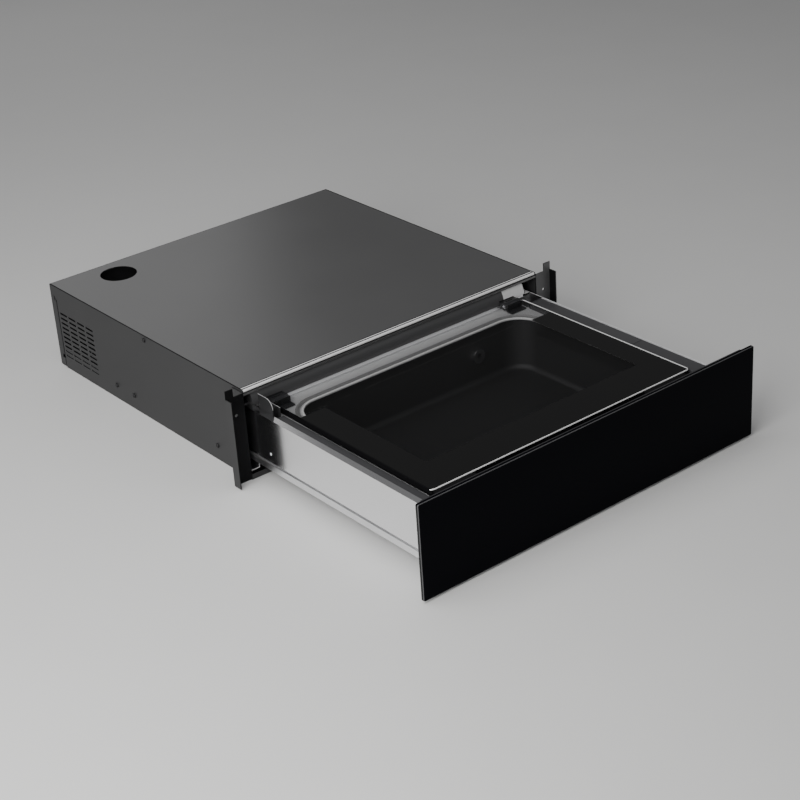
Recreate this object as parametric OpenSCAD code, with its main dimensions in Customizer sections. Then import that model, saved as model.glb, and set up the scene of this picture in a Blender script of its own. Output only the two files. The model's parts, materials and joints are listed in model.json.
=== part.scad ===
// Built-in vacuum sealing drawer, shown pulled out with its lid closed.
// Millimetres. +Z up, +X to the right seen from the front, +Y to the rear.
// The origin is the middle of the underside of the housing.

/* [Housing] */
// Outer width of the steel housing
housing_w = 537; // [530:1:545]
// Depth of the housing, without the front panel
housing_d = 520; // [515:1:545]
// Height of the housing
housing_h = 138; // [138:1:142]
// Thickness of the housing sheets
sheet = 1; // [0.8:0.1:1.2]
// Visible joint between two housing sheets
seam = 0.6; // [0.4:0.1:0.8]
// Width of the rear panel's flanges that wrap round the sides
wrap_w = 16; // [12:1:20]
// Diameter of the service hole in the top cover
service_hole_d = 57; // [40:1:70]
// Distance of the service hole from the middle of the housing
service_hole_x = 172; // [150:1:190]
// Distance of the service hole from the rear of the housing
service_hole_back = 47; // [42:1:70]

/* [Side vents] */
// Rows of vent slots in each side
vent_rows = 10; // [6:1:11]
// Slots in each row
vent_columns = 4; // [2:1:4]
// Length of one slot
vent_slot_l = 21; // [16:1:23]
// Height of one slot
vent_slot_h = 3; // [2:0.5:4]
// Distance between columns
vent_pitch_y = 25.5; // [24.5:0.5:26]
// Distance between rows
vent_pitch_z = 8; // [6:0.5:8.5]
// Height of the lowest row
vent_z = 23; // [20:1:30]

/* [Front brackets] */
// Sheet thickness of the brackets
bracket_t = 1.5; // [1.2:0.1:2]
// Half of the width over both brackets
bracket_half_w = 297.5; // [292:0.5:298]
// Height of the bracket's top edge
bracket_top = 135; // [130:1:137]
// How far the outer flange runs forward
flange_reach = 15; // [12:1:18]
// Width of the tab that stands on the bracket
tab_w = 13; // [10:1:16]
// Height of that tab
tab_h = 12.5; // [8:0.5:16]
// Height of the fixing hole
fixing_z = 106; // [60:1:115]
// Distance of the fixing hole from the middle of the housing
fixing_x = 283; // [279:1:288]
// Diameter of the fixing hole
fixing_d = 4.5; // [4:0.1:5]

/* [Front panel] */
// Width of the glass front
panel_w = 594; // [588:1:596]
// Height of the glass front
panel_h = 137; // [132:1:137]
// Thickness of the glass front
panel_t = 5; // [4:0.5:6]
// Height of the panel's lower edge above the housing's underside
panel_z = 3; // [2:0.5:5]
// Depth of the steel carrier behind the glass
carrier_d = 8; // [6:0.5:10]

/* [Drawer] */
// How far the drawer pulls out
travel = 382; // [360:1:384]
// Outer width over the drawer's sides
drawer_w = 520; // [518:1:522]
// Height of the top edge of the drawer's sides
drawer_top = 107.5; // [105:0.5:109]
// Sheet thickness of the drawer
drawer_t = 1.2; // [1:0.1:1.5]
// How much of the drawer stays in the housing when it is pulled out
drawer_tail = 118; // [116:1:119]
// Height of the underside of the drawer's tray
tray_z = 10; // [9:0.5:11]
// Height of the deck that the lid closes on
deck_top = 97.5; // [96:0.5:98.5]
// Width of the flange on the left side's top edge
flange_w = 10; // [8:0.5:11]

/* [Vacuum chamber] */
// Width of the chamber's mouth
chamber_w = 418; // [380:1:424]
// Depth of the chamber's mouth, front to rear
chamber_d = 304; // [280:1:306]
// Height inside the chamber
chamber_h = 80; // [70:1:81]
// Corner radius of the chamber's mouth
chamber_r = 38; // [30:1:45]
// Width of the chamber seal
gasket_w = 6; // [5:0.5:7]
// Height of the chamber seal under the closed lid
gasket_h = 2.7; // [2.4:0.1:2.8]

/* [Glass lid] */
// Width of the lid
lid_w = 462; // [458:1:464]
// Depth of the lid, front to rear
lid_d = 336; // [330:1:340]
// Thickness of the glass
lid_t = 10; // [8:0.5:11]
// Corner radius of the glass
lid_r = 6; // [4:1:10]
// Width of the polished bevel
bevel = 1.2; // [0.8:0.1:1.6]

/* [Sealing bar] */
// Length of the sealing bar
bar_l = 322; // [300:1:326]
// Width of the sealing bar
bar_w = 14; // [12:1:16]
// Height of the sealing bar
bar_h = 26; // [20:1:30]
// How far the bar is lifted against the lid
bar_lift = 5.5; // [4:0.5:6]

/* [Runners] */
// Length of each cabinet rail
cabinet_rail_l = 500; // [480:1:505]
// Length of each middle rail
middle_rail_l = 430; // [400:1:440]
// Length of each drawer rail
drawer_rail_l = 473; // [440:1:480]
// Distance between the middles of the two runners
runner_pitch = 500; // [499:0.5:501]
// Height of the top of the drawer rail
runner_top = 38; // [37.5:0.5:39]

/* [Hinge] */
// Diameter of the hinge pins
pin_d = 5; // [4:0.5:6]
// Radius of the hinge knuckles
knuckle_r = 5.5; // [5:0.1:5.5]
// Width of each hinge
hinge_w = 29; // [26:1:32]
// Distance of each hinge's middle from the middle of the lid
hinge_x = 214.5; // [205:0.5:215]
// Distance of the hinge pins behind the lid's rear edge
hinge_offset = 8; // [8:0.1:8.5]

/* [Hidden] */
$fn = 48;

// Cuts run past the faces that they open by this much
cut = 1;
// Gap between pieces that move past each other
clearance = 0.3;
// Radial clearance of a shaft that turns or slides in its bore
running_fit = 0.05;
// Screws that hold the sheets together
screw_d = 4;
screw_head_d = 7;
screw_head_h = 2;

half_w = housing_w / 2;
inner_half = half_w - sheet;
mouth_y = -housing_d / 2;
back_y = housing_d / 2;
inner_back = back_y - sheet;

// The closed glass stands this far in front of the brackets' outer flanges
panel_clear = 1;
panel_back = mouth_y - flange_reach - panel_clear - travel;
carrier_rear = panel_back + carrier_d;
drawer_rear = mouth_y + drawer_tail;
half_drawer = drawer_w / 2;
inner_drawer = half_drawer - drawer_t;

lid_z = deck_top + gasket_h + clearance;
// The lid's rear edge stays this far in front of the housing
lid_back_gap = 12;
lid_rear = mouth_y - lid_back_gap;
lid_mid_y = lid_rear - lid_d / 2;
hinge_y = lid_rear + hinge_offset;
hinge_rise_share = 0.45;
hinge_z = lid_z + lid_t * hinge_rise_share;

// The runners are upside-down channels, one inside the other
rail_t = 1.2;
drawer_rail_half = 12;
middle_rail_half = 7.2;
cabinet_post_half = 3;
drawer_rail_skirt = 10;
middle_rail_skirt = 11;
drawer_rail_gap = 1.7;
middle_rail_gap = 2.4;
middle_rail_top = runner_top - rail_t - drawer_rail_gap;
cabinet_post_top = middle_rail_top - rail_t - middle_rail_gap;
runner_x = runner_pitch / 2;
runner_clear = 1;
tray_riser_half = runner_x - drawer_rail_half - runner_clear;
middle_rail_front = mouth_y - travel / 2 + runner_clear;
cabinet_rail_front = mouth_y + 3 * runner_clear;

// The bulkhead parts the vacuum chamber from the machines behind it
bulkhead_set = 4;
bulkhead_y = mouth_y + bulkhead_set;
shelf_drop = 3;
shelf_d = 20;
shelf_z = drawer_top - shelf_drop;
wall_z = runner_top + drawer_t;
machine_z = tray_z + drawer_t;

module rounded_rect(w, d, r) {
    square([w - 2 * r, d], center = true);
    square([w, d - 2 * r], center = true);
    for (i = [-1, 1], j = [-1, 1]) translate([i * (w / 2 - r), j * (d / 2 - r)]) circle(r);
}

// Sweeps a profile round a rounded rectangle; its X points outwards and its Y up
module rim(w, d, r) {
    for (m = [0, 1], n = [0, 1]) mirror([m, 0, 0]) mirror([0, n, 0])
        translate([w / 2 - r, d / 2 - r, 0]) rotate_extrude(angle = 90) translate([r, 0]) children();
    for (m = [0, 1]) mirror([m, 0, 0])
        translate([w / 2, d / 2 - r, 0]) rotate([90, 0, 0]) linear_extrude(d - 2 * r) children();
    for (n = [0, 1]) mirror([0, n, 0])
        translate([-(w / 2 - r), d / 2, 0]) rotate([90, 0, 90]) linear_extrude(w - 2 * r) children();
}

// A sheet of thickness t, bent along the middle line through the points of path
module folded(path, t) {
    for (i = [0 : len(path) - 2]) let (a = path[i], b = path[i + 1], v = b - a)
        translate(a) rotate(atan2(v[1], v[0])) translate([0, -t / 2]) square([norm(v), t]);
    for (i = [1 : len(path) - 2]) translate(path[i]) circle(d = t, $fn = 16);
}

// Extrudes a profile drawn in Y and Z from x0 to x1
module along_x(x0, x1) {
    translate([x0, 0, 0]) rotate([90, 0, 90]) linear_extrude(x1 - x0) children();
}

// Extrudes a profile drawn in X and Z from y0 to y1
module along_y(y0, y1) {
    translate([0, y1, 0]) rotate([90, 0, 0]) linear_extrude(y1 - y0) children();
}

// A block between two corners
module block(low, high) {
    translate(low) cube(high - low);
}

// Repeats its children as a mirror image on the other side of the drawer
module both_sides() {
    for (m = [0, 1]) mirror([m, 0, 0]) children();
}

module slot(l, h) {
    square([l - h, h], center = true);
    for (i = [-1, 1]) translate([i * (l - h) / 2, 0]) circle(d = h, $fn = 16);
}

// Rows and columns of slots. The slot nearest the rear starts at the origin.
module slot_field(rows, columns) {
    for (row = [0 : rows - 1], column = [0 : columns - 1])
        translate([-vent_slot_l / 2 - column * vent_pitch_y, row * vent_pitch_z])
            slot(vent_slot_l, vent_slot_h);
}

// A slab of glass with polished bevels, lying flat with its underside at z = 0
module bevelled_slab(w, d, t, r, c) {
    rim(w, d, r) polygon([[-r / 2, 0], [-c, 0], [0, c], [0, t - c], [-c, t], [-r / 2, t]]);
    linear_extrude(t) rounded_rect(w - r, d - r, r / 2);
}

// A screw whose head points along +X and seats on the plane x = 0
module side_screw(shank_l) {
    rotate([0, 90, 0]) {
        cylinder(d = screw_head_d, h = screw_head_h);
        translate([0, 0, -shank_l]) cylinder(d = screw_d - clearance, h = shank_l + cut);
    }
}

// A hole through the sheets at x = 0
module side_hole() {
    rotate([0, 90, 0]) cylinder(d = screw_d, h = 4 * bracket_t, center = true);
}

// Housing

base_lip = 9;

module base_plate() {
    edge = inner_half - sheet / 2;
    color("dimgray") {
        along_y(mouth_y, inner_back) folded(
            [[-edge, base_lip], [-edge, sheet / 2], [edge, sheet / 2], [edge, base_lip]], sheet);
        block([-inner_half, mouth_y, 0], [inner_half, mouth_y + sheet, base_lip - sheet]);
    }
}

rail_screw_drop = 15;
rail_screw_z = runner_top - rail_screw_drop;
// Distances from the mouth to the screws that hold the cabinet rails
rail_screw_ys = [80, 300, 349];
cover_screw_y = mouth_y + 249;
cover_screw_drop = 7;
cover_screw_z = housing_h - cover_screw_drop;
vent_margin = 5;
wrap_drop = 18;
wrap_top = housing_h - wrap_drop;
tongue_l = 10;

module side_panel() {
    side_end = back_y - wrap_w - seam;
    color("dimgray") difference() {
        union() {
            block([inner_half, mouth_y, 0], [half_w, side_end, housing_h]);
            block([inner_half, side_end - cut, wrap_top + seam], [half_w, inner_back, housing_h]);
            block([inner_half - sheet, side_end - tongue_l, runner_top],
                  [inner_half, inner_back, wrap_top]);
        }
        along_x(inner_half - sheet - cut, half_w + cut)
            translate([back_y - wrap_w - vent_margin, vent_z]) slot_field(vent_rows, vent_columns);
        for (y = rail_screw_ys) translate([inner_half, mouth_y + y, rail_screw_z]) side_hole();
        translate([inner_half, cover_screw_y, cover_screw_z]) side_hole();
    }
}

module left_side_panel() mirror([1, 0, 0]) side_panel();
module right_side_panel() side_panel();

gland_x = 190;
gland_z = 34;
gland_d = 16;
notch_h = 6;
notch_w = 7;
lower_notch_z = 15.5;
wrap_z = 3;
rear_vent_rows = 6;
rear_vent_columns = 5;
rear_vent_z = 33;
// Distance of the rear vents' middle from the middle of the housing
rear_vent_x = 96;

module rear_panel() {
    color("dimgray") difference() {
        union() {
            block([-half_w, inner_back, sheet + seam], [half_w, back_y, housing_h]);
            both_sides() block([inner_half, back_y - wrap_w, wrap_z], [half_w, back_y, wrap_top]);
        }
        both_sides() for (z = [lower_notch_z, wrap_top - notch_h])
            block([inner_half - cut, back_y - wrap_w - cut, z],
                  [half_w + cut, back_y - wrap_w + notch_w, z + notch_h]);
        translate([gland_x, back_y, gland_z]) rotate([90, 0, 0])
            cylinder(d = gland_d, h = 4 * sheet, center = true);
        along_y(inner_back - cut, back_y + cut)
            translate([rear_vent_x + rear_vent_columns * vent_pitch_y / 2, rear_vent_z])
                slot_field(rear_vent_rows, rear_vent_columns);
    }
}

bead_d = 4.4;
cover_edge = inner_half - seam;
cover_flange = 12;

module top_cover() {
    edge = cover_edge - sheet / 2;
    flange_z = housing_h - cover_flange;
    color("gray") difference() {
        union() {
            along_y(mouth_y + bead_d / 2, inner_back) folded(
                [[-edge, flange_z], [-edge, housing_h - sheet / 2],
                 [edge, housing_h - sheet / 2], [edge, flange_z]], sheet);
            // Rolled front edge
            along_x(-cover_edge, cover_edge) translate([mouth_y + bead_d / 2, housing_h - bead_d / 2])
                difference() {
                    circle(d = bead_d);
                    circle(d = bead_d - 2 * sheet);
                    translate([0, -bead_d]) square([bead_d, bead_d + sheet]);
                }
        }
        translate([-service_hole_x, back_y - service_hole_back, housing_h])
            cylinder(d = service_hole_d, h = 4 * sheet, center = true, $fn = 96);
        both_sides() translate([cover_edge, cover_screw_y, cover_screw_z]) side_hole();
    }
}

mouth_rail_drop = 8.2;
mouth_rail_z = housing_h - mouth_rail_drop;
mouth_rail_d = 20;
mouth_rail_h = 3.2;

module mouth_rail() {
    shelf_half = cover_edge - sheet - clearance;
    color("gray") {
        block([-half_w, mouth_y - sheet, mouth_rail_z],
              [half_w, mouth_y, mouth_rail_z + mouth_rail_h]);
        block([-shelf_half, mouth_y - sheet, mouth_rail_z],
              [shelf_half, mouth_y + mouth_rail_d, mouth_rail_z + sheet]);
    }
}

bracket_leg = 24;
bracket_foot = 2;
bracket_screw_shares = [0.25, 0.75];

module front_bracket() {
    front = mouth_y - bracket_t;
    color("dimgray") difference() {
        union() {
            block([half_w, front, bracket_foot],
                  [half_w + bracket_t, mouth_y + bracket_leg, bracket_top]);
            block([half_w, front, bracket_foot], [bracket_half_w, mouth_y, bracket_top]);
            block([bracket_half_w - bracket_t, mouth_y - flange_reach, bracket_foot],
                  [bracket_half_w, mouth_y, bracket_top]);
            block([bracket_half_w - tab_w, front, bracket_top - cut],
                  [bracket_half_w, mouth_y, bracket_top + tab_h]);
        }
        translate([fixing_x, mouth_y, fixing_z]) rotate([90, 0, 0])
            cylinder(d = fixing_d, h = 4 * bracket_t, center = true);
        for (share = bracket_screw_shares)
            translate([half_w, mouth_y + bracket_leg / 2, bracket_top * share]) side_hole();
    }
}

module left_front_bracket() mirror([1, 0, 0]) front_bracket();
module right_front_bracket() front_bracket();

module housing_screws() {
    color("black") both_sides() {
        for (y = rail_screw_ys)
            translate([half_w, mouth_y + y, rail_screw_z]) side_screw(sheet + rail_t);
        translate([half_w, cover_screw_y, cover_screw_z]) side_screw(2 * sheet + seam);
        for (share = bracket_screw_shares)
            translate([half_w + bracket_t, mouth_y + bracket_leg / 2, bracket_top * share])
                side_screw(bracket_t);
    }
}

cabinet_rail_floor = 12;
cabinet_rail_drop = 4;

module cabinet_rail() {
    web = inner_half - rail_t / 2;
    floor_mid = cabinet_rail_floor + rail_t / 2;
    post = cabinet_post_half - rail_t / 2;
    post_mid = cabinet_post_top - rail_t / 2;
    color("silver") difference() {
        along_y(cabinet_rail_front, cabinet_rail_front + cabinet_rail_l) folded([
            [web, runner_top - cabinet_rail_drop], [web, floor_mid],
            [runner_x + post, floor_mid], [runner_x + post, post_mid],
            [runner_x - post, post_mid], [runner_x - post, floor_mid + rail_t]], rail_t);
        for (y = rail_screw_ys) translate([inner_half, mouth_y + y, rail_screw_z]) side_hole();
    }
}

module left_cabinet_rail() mirror([1, 0, 0]) cabinet_rail();
module right_cabinet_rail() cabinet_rail();

// Spring buffer that the closed drawer rests on and is pushed open by
buffer_z = 60;
buffer_w = 26;
buffer_h = 22;
buffer_wall = 2;
plunger_d = 9;
plunger_out = 4.5;
buffer_gap = 0.5;
plunger_tip = drawer_rear + travel + buffer_gap;
buffer_front = plunger_tip + plunger_out;

module latch_body() {
    low = buffer_z - buffer_h / 2;
    high = buffer_z + buffer_h / 2;
    color("black") difference() {
        union() {
            block([-buffer_w / 2, buffer_front, low], [buffer_w / 2, inner_back, high]);
            block([-buffer_w, inner_back - buffer_wall, low], [buffer_w, inner_back, high]);
        }
        translate([0, plunger_tip, buffer_z]) rotate([-90, 0, 0])
            cylinder(r = plunger_d / 2 + running_fit, h = inner_back - buffer_wall - plunger_tip);
        for (i = [-1, 1]) translate([i * buffer_w * 3 / 4, inner_back, buffer_z]) rotate([90, 0, 0])
            cylinder(d = screw_d, h = 4 * buffer_wall, center = true);
    }
}

plunger_travel = 4;

module latch_plunger() {
    l = inner_back - buffer_wall - plunger_tip - plunger_travel - clearance;
    color("white") translate([0, plunger_tip, buffer_z]) rotate([-90, 0, 0])
        cylinder(d = plunger_d, h = l);
}

gland_bore_d = 8;
gland_nut_d = 24;
gland_nut_l = 5;
gland_tail = 9;

module power_gland() {
    inner_end = inner_back - gland_nut_l;
    outer_end = back_y + gland_tail;
    color("black") translate([gland_x, 0, gland_z]) rotate([-90, 0, 0]) difference() {
        union() {
            translate([0, 0, inner_end]) cylinder(d = gland_nut_d, h = gland_nut_l, $fn = 6);
            translate([0, 0, inner_end]) cylinder(d = gland_d - clearance, h = outer_end - inner_end);
            translate([0, 0, back_y]) cylinder(d = gland_nut_d, h = gland_nut_l, $fn = 6);
        }
        translate([0, 0, inner_end - cut]) cylinder(d = gland_bore_d, h = outer_end - inner_end + 2 * cut);
    }
}

// Drawer

module drawer_tray() {
    riser = tray_riser_half - drawer_t / 2;
    floor_mid = tray_z + drawer_t / 2;
    shelf_mid = runner_top + drawer_t / 2;
    color("silver") along_y(carrier_rear, drawer_rear) folded([
        [-half_drawer, shelf_mid], [-riser, shelf_mid], [-riser, floor_mid],
        [riser, floor_mid], [riser, shelf_mid], [half_drawer, shelf_mid]], drawer_t);
}

front_tab = 12;
tab_top = deck_top - 2 * drawer_t;
wall_vent_rows = 6;
wall_vent_columns = 3;
wall_vent_rise = 12;
wall_vent_margin = 8;
hood_half = 250;
flange_lip = 4;

module drawer_side() {
    color("lightgray") difference() {
        union() {
            block([inner_drawer, carrier_rear, wall_z], [half_drawer, drawer_rear, drawer_top]);
            block([inner_drawer - front_tab, carrier_rear, wall_z],
                  [inner_drawer, carrier_rear + drawer_t, tab_top]);
            block([hood_half, bulkhead_y, drawer_top - drawer_t],
                  [half_drawer, drawer_rear, drawer_top]);
        }
        along_x(inner_drawer - cut, half_drawer + cut)
            translate([drawer_rear - wall_vent_margin, wall_z + wall_vent_rise])
                slot_field(wall_vent_rows, wall_vent_columns);
    }
}

module left_drawer_side() {
    lip_x = -half_drawer + flange_w;
    mirror([1, 0, 0]) drawer_side();
    color("lightgray") {
        block([-half_drawer, carrier_rear, drawer_top - drawer_t],
              [lip_x, bulkhead_y + cut, drawer_top]);
        block([lip_x - drawer_t, carrier_rear, drawer_top - flange_lip],
              [lip_x, mouth_y, drawer_top]);
    }
}

module right_drawer_side() drawer_side();

// Outline of a wall that stands across the tray
module partition(top) {
    low_half = tray_riser_half - drawer_t;
    polygon([
        [-low_half, machine_z], [low_half, machine_z], [low_half, wall_z], [inner_drawer, wall_z],
        [inner_drawer, top], [-inner_drawer, top], [-inner_drawer, wall_z], [-low_half, wall_z]]);
}

module drawer_rear_wall() {
    color("silver") difference() {
        along_y(drawer_rear - drawer_t, drawer_rear) partition(drawer_top - drawer_t);
        along_y(drawer_rear - drawer_t - cut, drawer_rear + cut)
            translate([-service_hole_x + wall_vent_columns * vent_pitch_y / 2, wall_z + wall_vent_rise])
                slot_field(wall_vent_rows, wall_vent_columns);
    }
}

hose_x = 124;
hose_z = 60;
hose_d = 14;
hose_wall = 3;

module bulkhead() {
    shelf_half = hood_half - 2 * drawer_t;
    color("silver") difference() {
        union() {
            along_y(bulkhead_y, bulkhead_y + drawer_t) partition(shelf_z);
            block([-shelf_half, bulkhead_y, shelf_z - drawer_t],
                  [shelf_half, bulkhead_y + shelf_d, shelf_z]);
        }
        translate([hose_x, bulkhead_y, hose_z]) rotate([90, 0, 0])
            cylinder(r = hose_d / 2 + clearance, h = 4 * drawer_t, center = true);
    }
}

notch_side = 24;

module deck_plate() {
    low = deck_top - drawer_t;
    color("lightgray") difference() {
        block([-inner_drawer, carrier_rear, low], [inner_drawer, bulkhead_y, deck_top]);
        translate([0, lid_mid_y, low - cut]) linear_extrude(drawer_t + 2 * cut)
            rounded_rect(chamber_w, chamber_d, chamber_r);
        both_sides() block([inner_drawer - notch_side, mouth_y - notch_side, low - cut],
                           [inner_drawer + cut, bulkhead_y + cut, deck_top + cut]);
    }
}

trim_gap = 2;
trim_half = lid_w / 2 + trim_gap + drawer_t / 2;
trim_rise = 4;
bracket_gap = 6;
bracket_l = 33;
bracket_rear = mouth_y - bracket_gap;
bracket_front = bracket_rear - bracket_l;

module left_trim() {
    outer = half_drawer - flange_w - drawer_t / 2;
    along_y(carrier_rear, bracket_front - trim_gap) folded([
        [-trim_half, deck_top], [-trim_half, deck_top + trim_rise],
        [-outer, deck_top + trim_rise], [-outer, deck_top]], drawer_t);
}

window_l = 79;
window_w = 20;
window_y = mouth_y - 194;
window_t = 1.6;
trim_inset = 0.8;
trim_top = drawer_top - trim_inset;

module right_trim() {
    outer = inner_drawer - drawer_t / 2;
    ridge = trim_top - drawer_t / 2;
    difference() {
        along_y(carrier_rear, mouth_y - notch_side) folded(
            [[trim_half, deck_top], [trim_half, ridge], [outer, ridge], [outer, deck_top]], drawer_t);
        translate([(trim_half + outer) / 2, window_y, trim_top])
            cube([window_w, window_l, 3 * drawer_t], center = true);
    }
}

module deck_trims() {
    color("dimgray") {
        left_trim();
        right_trim();
    }
}

module display_window() {
    outer = inner_drawer - drawer_t / 2;
    color("gray") translate([(trim_half + outer) / 2, window_y, trim_top + trim_inset / 2 - window_t])
        linear_extrude(window_t) rounded_rect(window_w - clearance, window_l - clearance, window_t);
}

control_l = 300;
control_t = 4;
control_margin = 6;
control_bevel = 0.6;

module control_panel() {
    front = carrier_rear + control_margin;
    rear = lid_rear - lid_d - control_margin;
    color("black") translate([0, (front + rear) / 2, deck_top])
        bevelled_slab(control_l, rear - front, control_t, 3 * control_bevel, control_bevel);
}

// The chamber is deep-drawn: a flange, slightly sloping walls and a rounded floor edge
chamber_flange = 14;
chamber_draft = 1.5;
floor_r = 8;
flange_top = deck_top - drawer_t;
chamber_floor = deck_top - chamber_h;
port_d = 14;
chamber_rear = lid_mid_y + chamber_d / 2;

function arc(c, r, from, to, steps = 6) =
    [for (i = [0 : steps]) let (a = from + (to - from) * i / steps) c + r * [cos(a), sin(a)]];

module chamber_profile() {
    centre = [-chamber_draft - floor_r, chamber_floor + floor_r];
    polygon(concat(
        [[chamber_flange, flange_top], [0, flange_top]],
        arc(centre, floor_r, 0, -90),
        arc(centre, floor_r + drawer_t, -90, 0),
        [[drawer_t, flange_top - drawer_t], [chamber_flange, flange_top - drawer_t]]));
}

module vacuum_chamber() {
    inset = chamber_draft + floor_r;
    color("lightgray") difference() {
        union() {
            translate([0, lid_mid_y, 0]) rim(chamber_w, chamber_d, chamber_r) chamber_profile();
            translate([0, lid_mid_y, chamber_floor - drawer_t]) linear_extrude(drawer_t)
                rounded_rect(chamber_w - 2 * inset, chamber_d - 2 * inset, chamber_r - inset);
        }
        translate([hose_x, chamber_rear, hose_z]) rotate([90, 0, 0])
            cylinder(d = port_d, h = 8 * chamber_draft, center = true);
    }
}

gasket_offset = 9;

module chamber_gasket() {
    color("darkslategray") translate([0, lid_mid_y, deck_top])
        rim(chamber_w + 2 * gasket_offset, chamber_d + 2 * gasket_offset, chamber_r + gasket_offset) {
            translate([-gasket_w / 2, 0]) square([gasket_w, gasket_h / 2]);
            translate([0, gasket_h / 2]) circle(d = gasket_h, $fn = 24);
        }
}

// The sealing bar rides on two rods in cylinders that stand on the chamber's floor
bar_front_gap = 19;
bar_y = lid_mid_y - chamber_d / 2 + bar_front_gap + bar_w / 2;
bar_top = deck_top - bar_lift;
bar_z = bar_top - bar_h;
rod_d = 8;
rod_inset = 46;
rod_x = bar_l / 2 - rod_inset;
cylinder_d = 18;
cylinder_h = 30;
cylinder_foot = 2;

module lift_cylinders() {
    color("silver") for (i = [-1, 1]) translate([i * rod_x, bar_y, chamber_floor]) difference() {
        union() {
            cylinder(d = cylinder_d, h = cylinder_h);
            cylinder(d = cylinder_d + 2 * cylinder_foot, h = cylinder_foot);
        }
        translate([0, 0, cylinder_foot]) cylinder(r = rod_d / 2 + running_fit, h = cylinder_h);
    }
}

module lift_rods() {
    rod_foot = chamber_floor + cylinder_h / 3;
    color("white") for (i = [-1, 1]) translate([i * rod_x, bar_y, rod_foot])
        cylinder(d = rod_d, h = bar_z - rod_foot);
}

band_w = 9;
band_t = 0.6;
band_inset = 14;
bar_screw_inset = 8;
groove_share = 0.62;

module seal_bar() {
    color("gainsboro") difference() {
        along_x(-bar_l / 2, bar_l / 2) translate([bar_y, bar_z]) difference() {
            translate([-bar_w / 2, 0]) square([bar_w, bar_h - band_t]);
            for (i = [-1, 1]) translate([i * bar_w / 2, bar_h * groove_share])
                circle(d = bar_w / 4, $fn = 24);
        }
        for (i = [-1, 1]) translate([i * (bar_l / 2 - bar_screw_inset), bar_y, bar_top])
            cylinder(d = screw_d, h = 2 * bar_screw_inset, center = true);
    }
}

module heating_band() {
    half = bar_l / 2 - band_inset;
    color("peru") block([-half, bar_y - band_w / 2, bar_top - band_t],
                        [half, bar_y + band_w / 2, bar_top]);
}

port_flange = 4;
port_bore_d = 8;
port_tail = 14;
// The chamber's wall leans in by this much at the port's upper edge
port_lean = chamber_draft * (flange_top - hose_z + port_d / 2 + port_flange)
    / (flange_top - chamber_floor - floor_r);
port_seat = chamber_rear - port_lean;

module suction_port() {
    front = port_seat - port_flange;
    tail = chamber_rear + port_tail;
    color("silver") translate([hose_x, 0, hose_z]) rotate([-90, 0, 0]) difference() {
        union() {
            translate([0, 0, front]) cylinder(d = port_d + 2 * port_flange, h = port_flange);
            translate([0, 0, front]) cylinder(d = port_d - 2 * running_fit, h = tail - front);
        }
        translate([0, 0, front - cut]) cylinder(d = port_bore_d, h = tail - front + 2 * cut);
    }
}

carrier_inset = 14;
carrier_foot = 6;
carrier_drop = 5;
carrier_screw_rise = 25;

module front_carrier() {
    half = panel_w / 2 - carrier_inset;
    low = panel_z + carrier_foot;
    high = panel_z + panel_h - carrier_drop;
    t = drawer_t;
    color("dimgray") {
        difference() {
            block([-half, panel_back, low], [half, carrier_rear, high]);
            block([-half + t, panel_back + t, low + t], [half - t, carrier_rear + cut, high - t]);
            for (i = [-1, 1], z = [low + carrier_screw_rise, high - carrier_screw_rise])
                translate([i * (inner_drawer - front_tab / 2), panel_back, z]) rotate([90, 0, 0])
                    cylinder(d = screw_d, h = 4 * t, center = true);
        }
        // Posts that the drawer's sides are screwed to
        both_sides() difference() {
            block([inner_drawer - front_tab, panel_back + t, wall_z],
                  [inner_drawer, carrier_rear, tab_top]);
            block([inner_drawer - front_tab + t, panel_back, wall_z - cut],
                  [inner_drawer - t, carrier_rear - t, tab_top + cut]);
        }
    }
}

panel_bevel = 0.8;

module front_panel() {
    color("black") translate([0, panel_back, panel_z + panel_h / 2]) rotate([90, 0, 0])
        bevelled_slab(panel_w, panel_h, panel_t, 3 * panel_bevel, panel_bevel);
}

// Hood over the machines: a curved front, a flat top and a straight rear
hood_drop = 10.5;
hood_top = housing_h - hood_drop;
hood_set = 1.4;
hood_front = bulkhead_y + hood_set;
hood_bend = 45;
hood_r = (hood_top - shelf_z) / sin(hood_bend);
hood_shoulder = hood_front + hood_r * (1 - cos(hood_bend));

module hood_fill(inset) {
    intersection() {
        union() {
            translate([hood_front + hood_r, shelf_z]) circle(hood_r - inset, $fn = 180);
            translate([hood_shoulder, shelf_z - inset])
                square([drawer_rear - inset - hood_shoulder, hood_top - shelf_z]);
        }
        translate([hood_front, shelf_z - inset])
            square([drawer_rear - inset - hood_front, hood_top - shelf_z]);
    }
}

module rear_hood() {
    t = drawer_t;
    color("silver") difference() {
        union() {
            along_x(-hood_half, hood_half) difference() {
                hood_fill(0);
                hood_fill(t);
            }
            both_sides() {
                along_x(hood_half - t, hood_half) hood_fill(0);
                block([hood_half - t, hood_shoulder, drawer_top],
                      [inner_drawer - t, drawer_rear - t, drawer_top + t]);
            }
        }
        // The ends stand on the side flanges and the rear on the rear wall
        block([-inner_drawer, bulkhead_y + shelf_d, shelf_z - cut],
              [inner_drawer, drawer_rear + cut, drawer_top - t]);
        both_sides() {
            block([hood_half - 2 * t - clearance, hood_front - cut, shelf_z - cut],
                  [inner_drawer, drawer_rear - t, drawer_top]);
            block([hinge_x - hinge_w / 2 - clearance, hood_front - cut, shelf_z - cut],
                  [hinge_x + hinge_w / 2 + clearance, hood_shoulder, hinge_z + knuckle_r + clearance]);
        }
    }
}

knuckle_l = (hinge_w - 2 * clearance) / 4;
leaf_front = hinge_y + knuckle_r + clearance;
leaf_rear = bulkhead_y + shelf_d;
leaf_drop = 1;
leaf_top = hinge_z + knuckle_r - leaf_drop;

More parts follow.
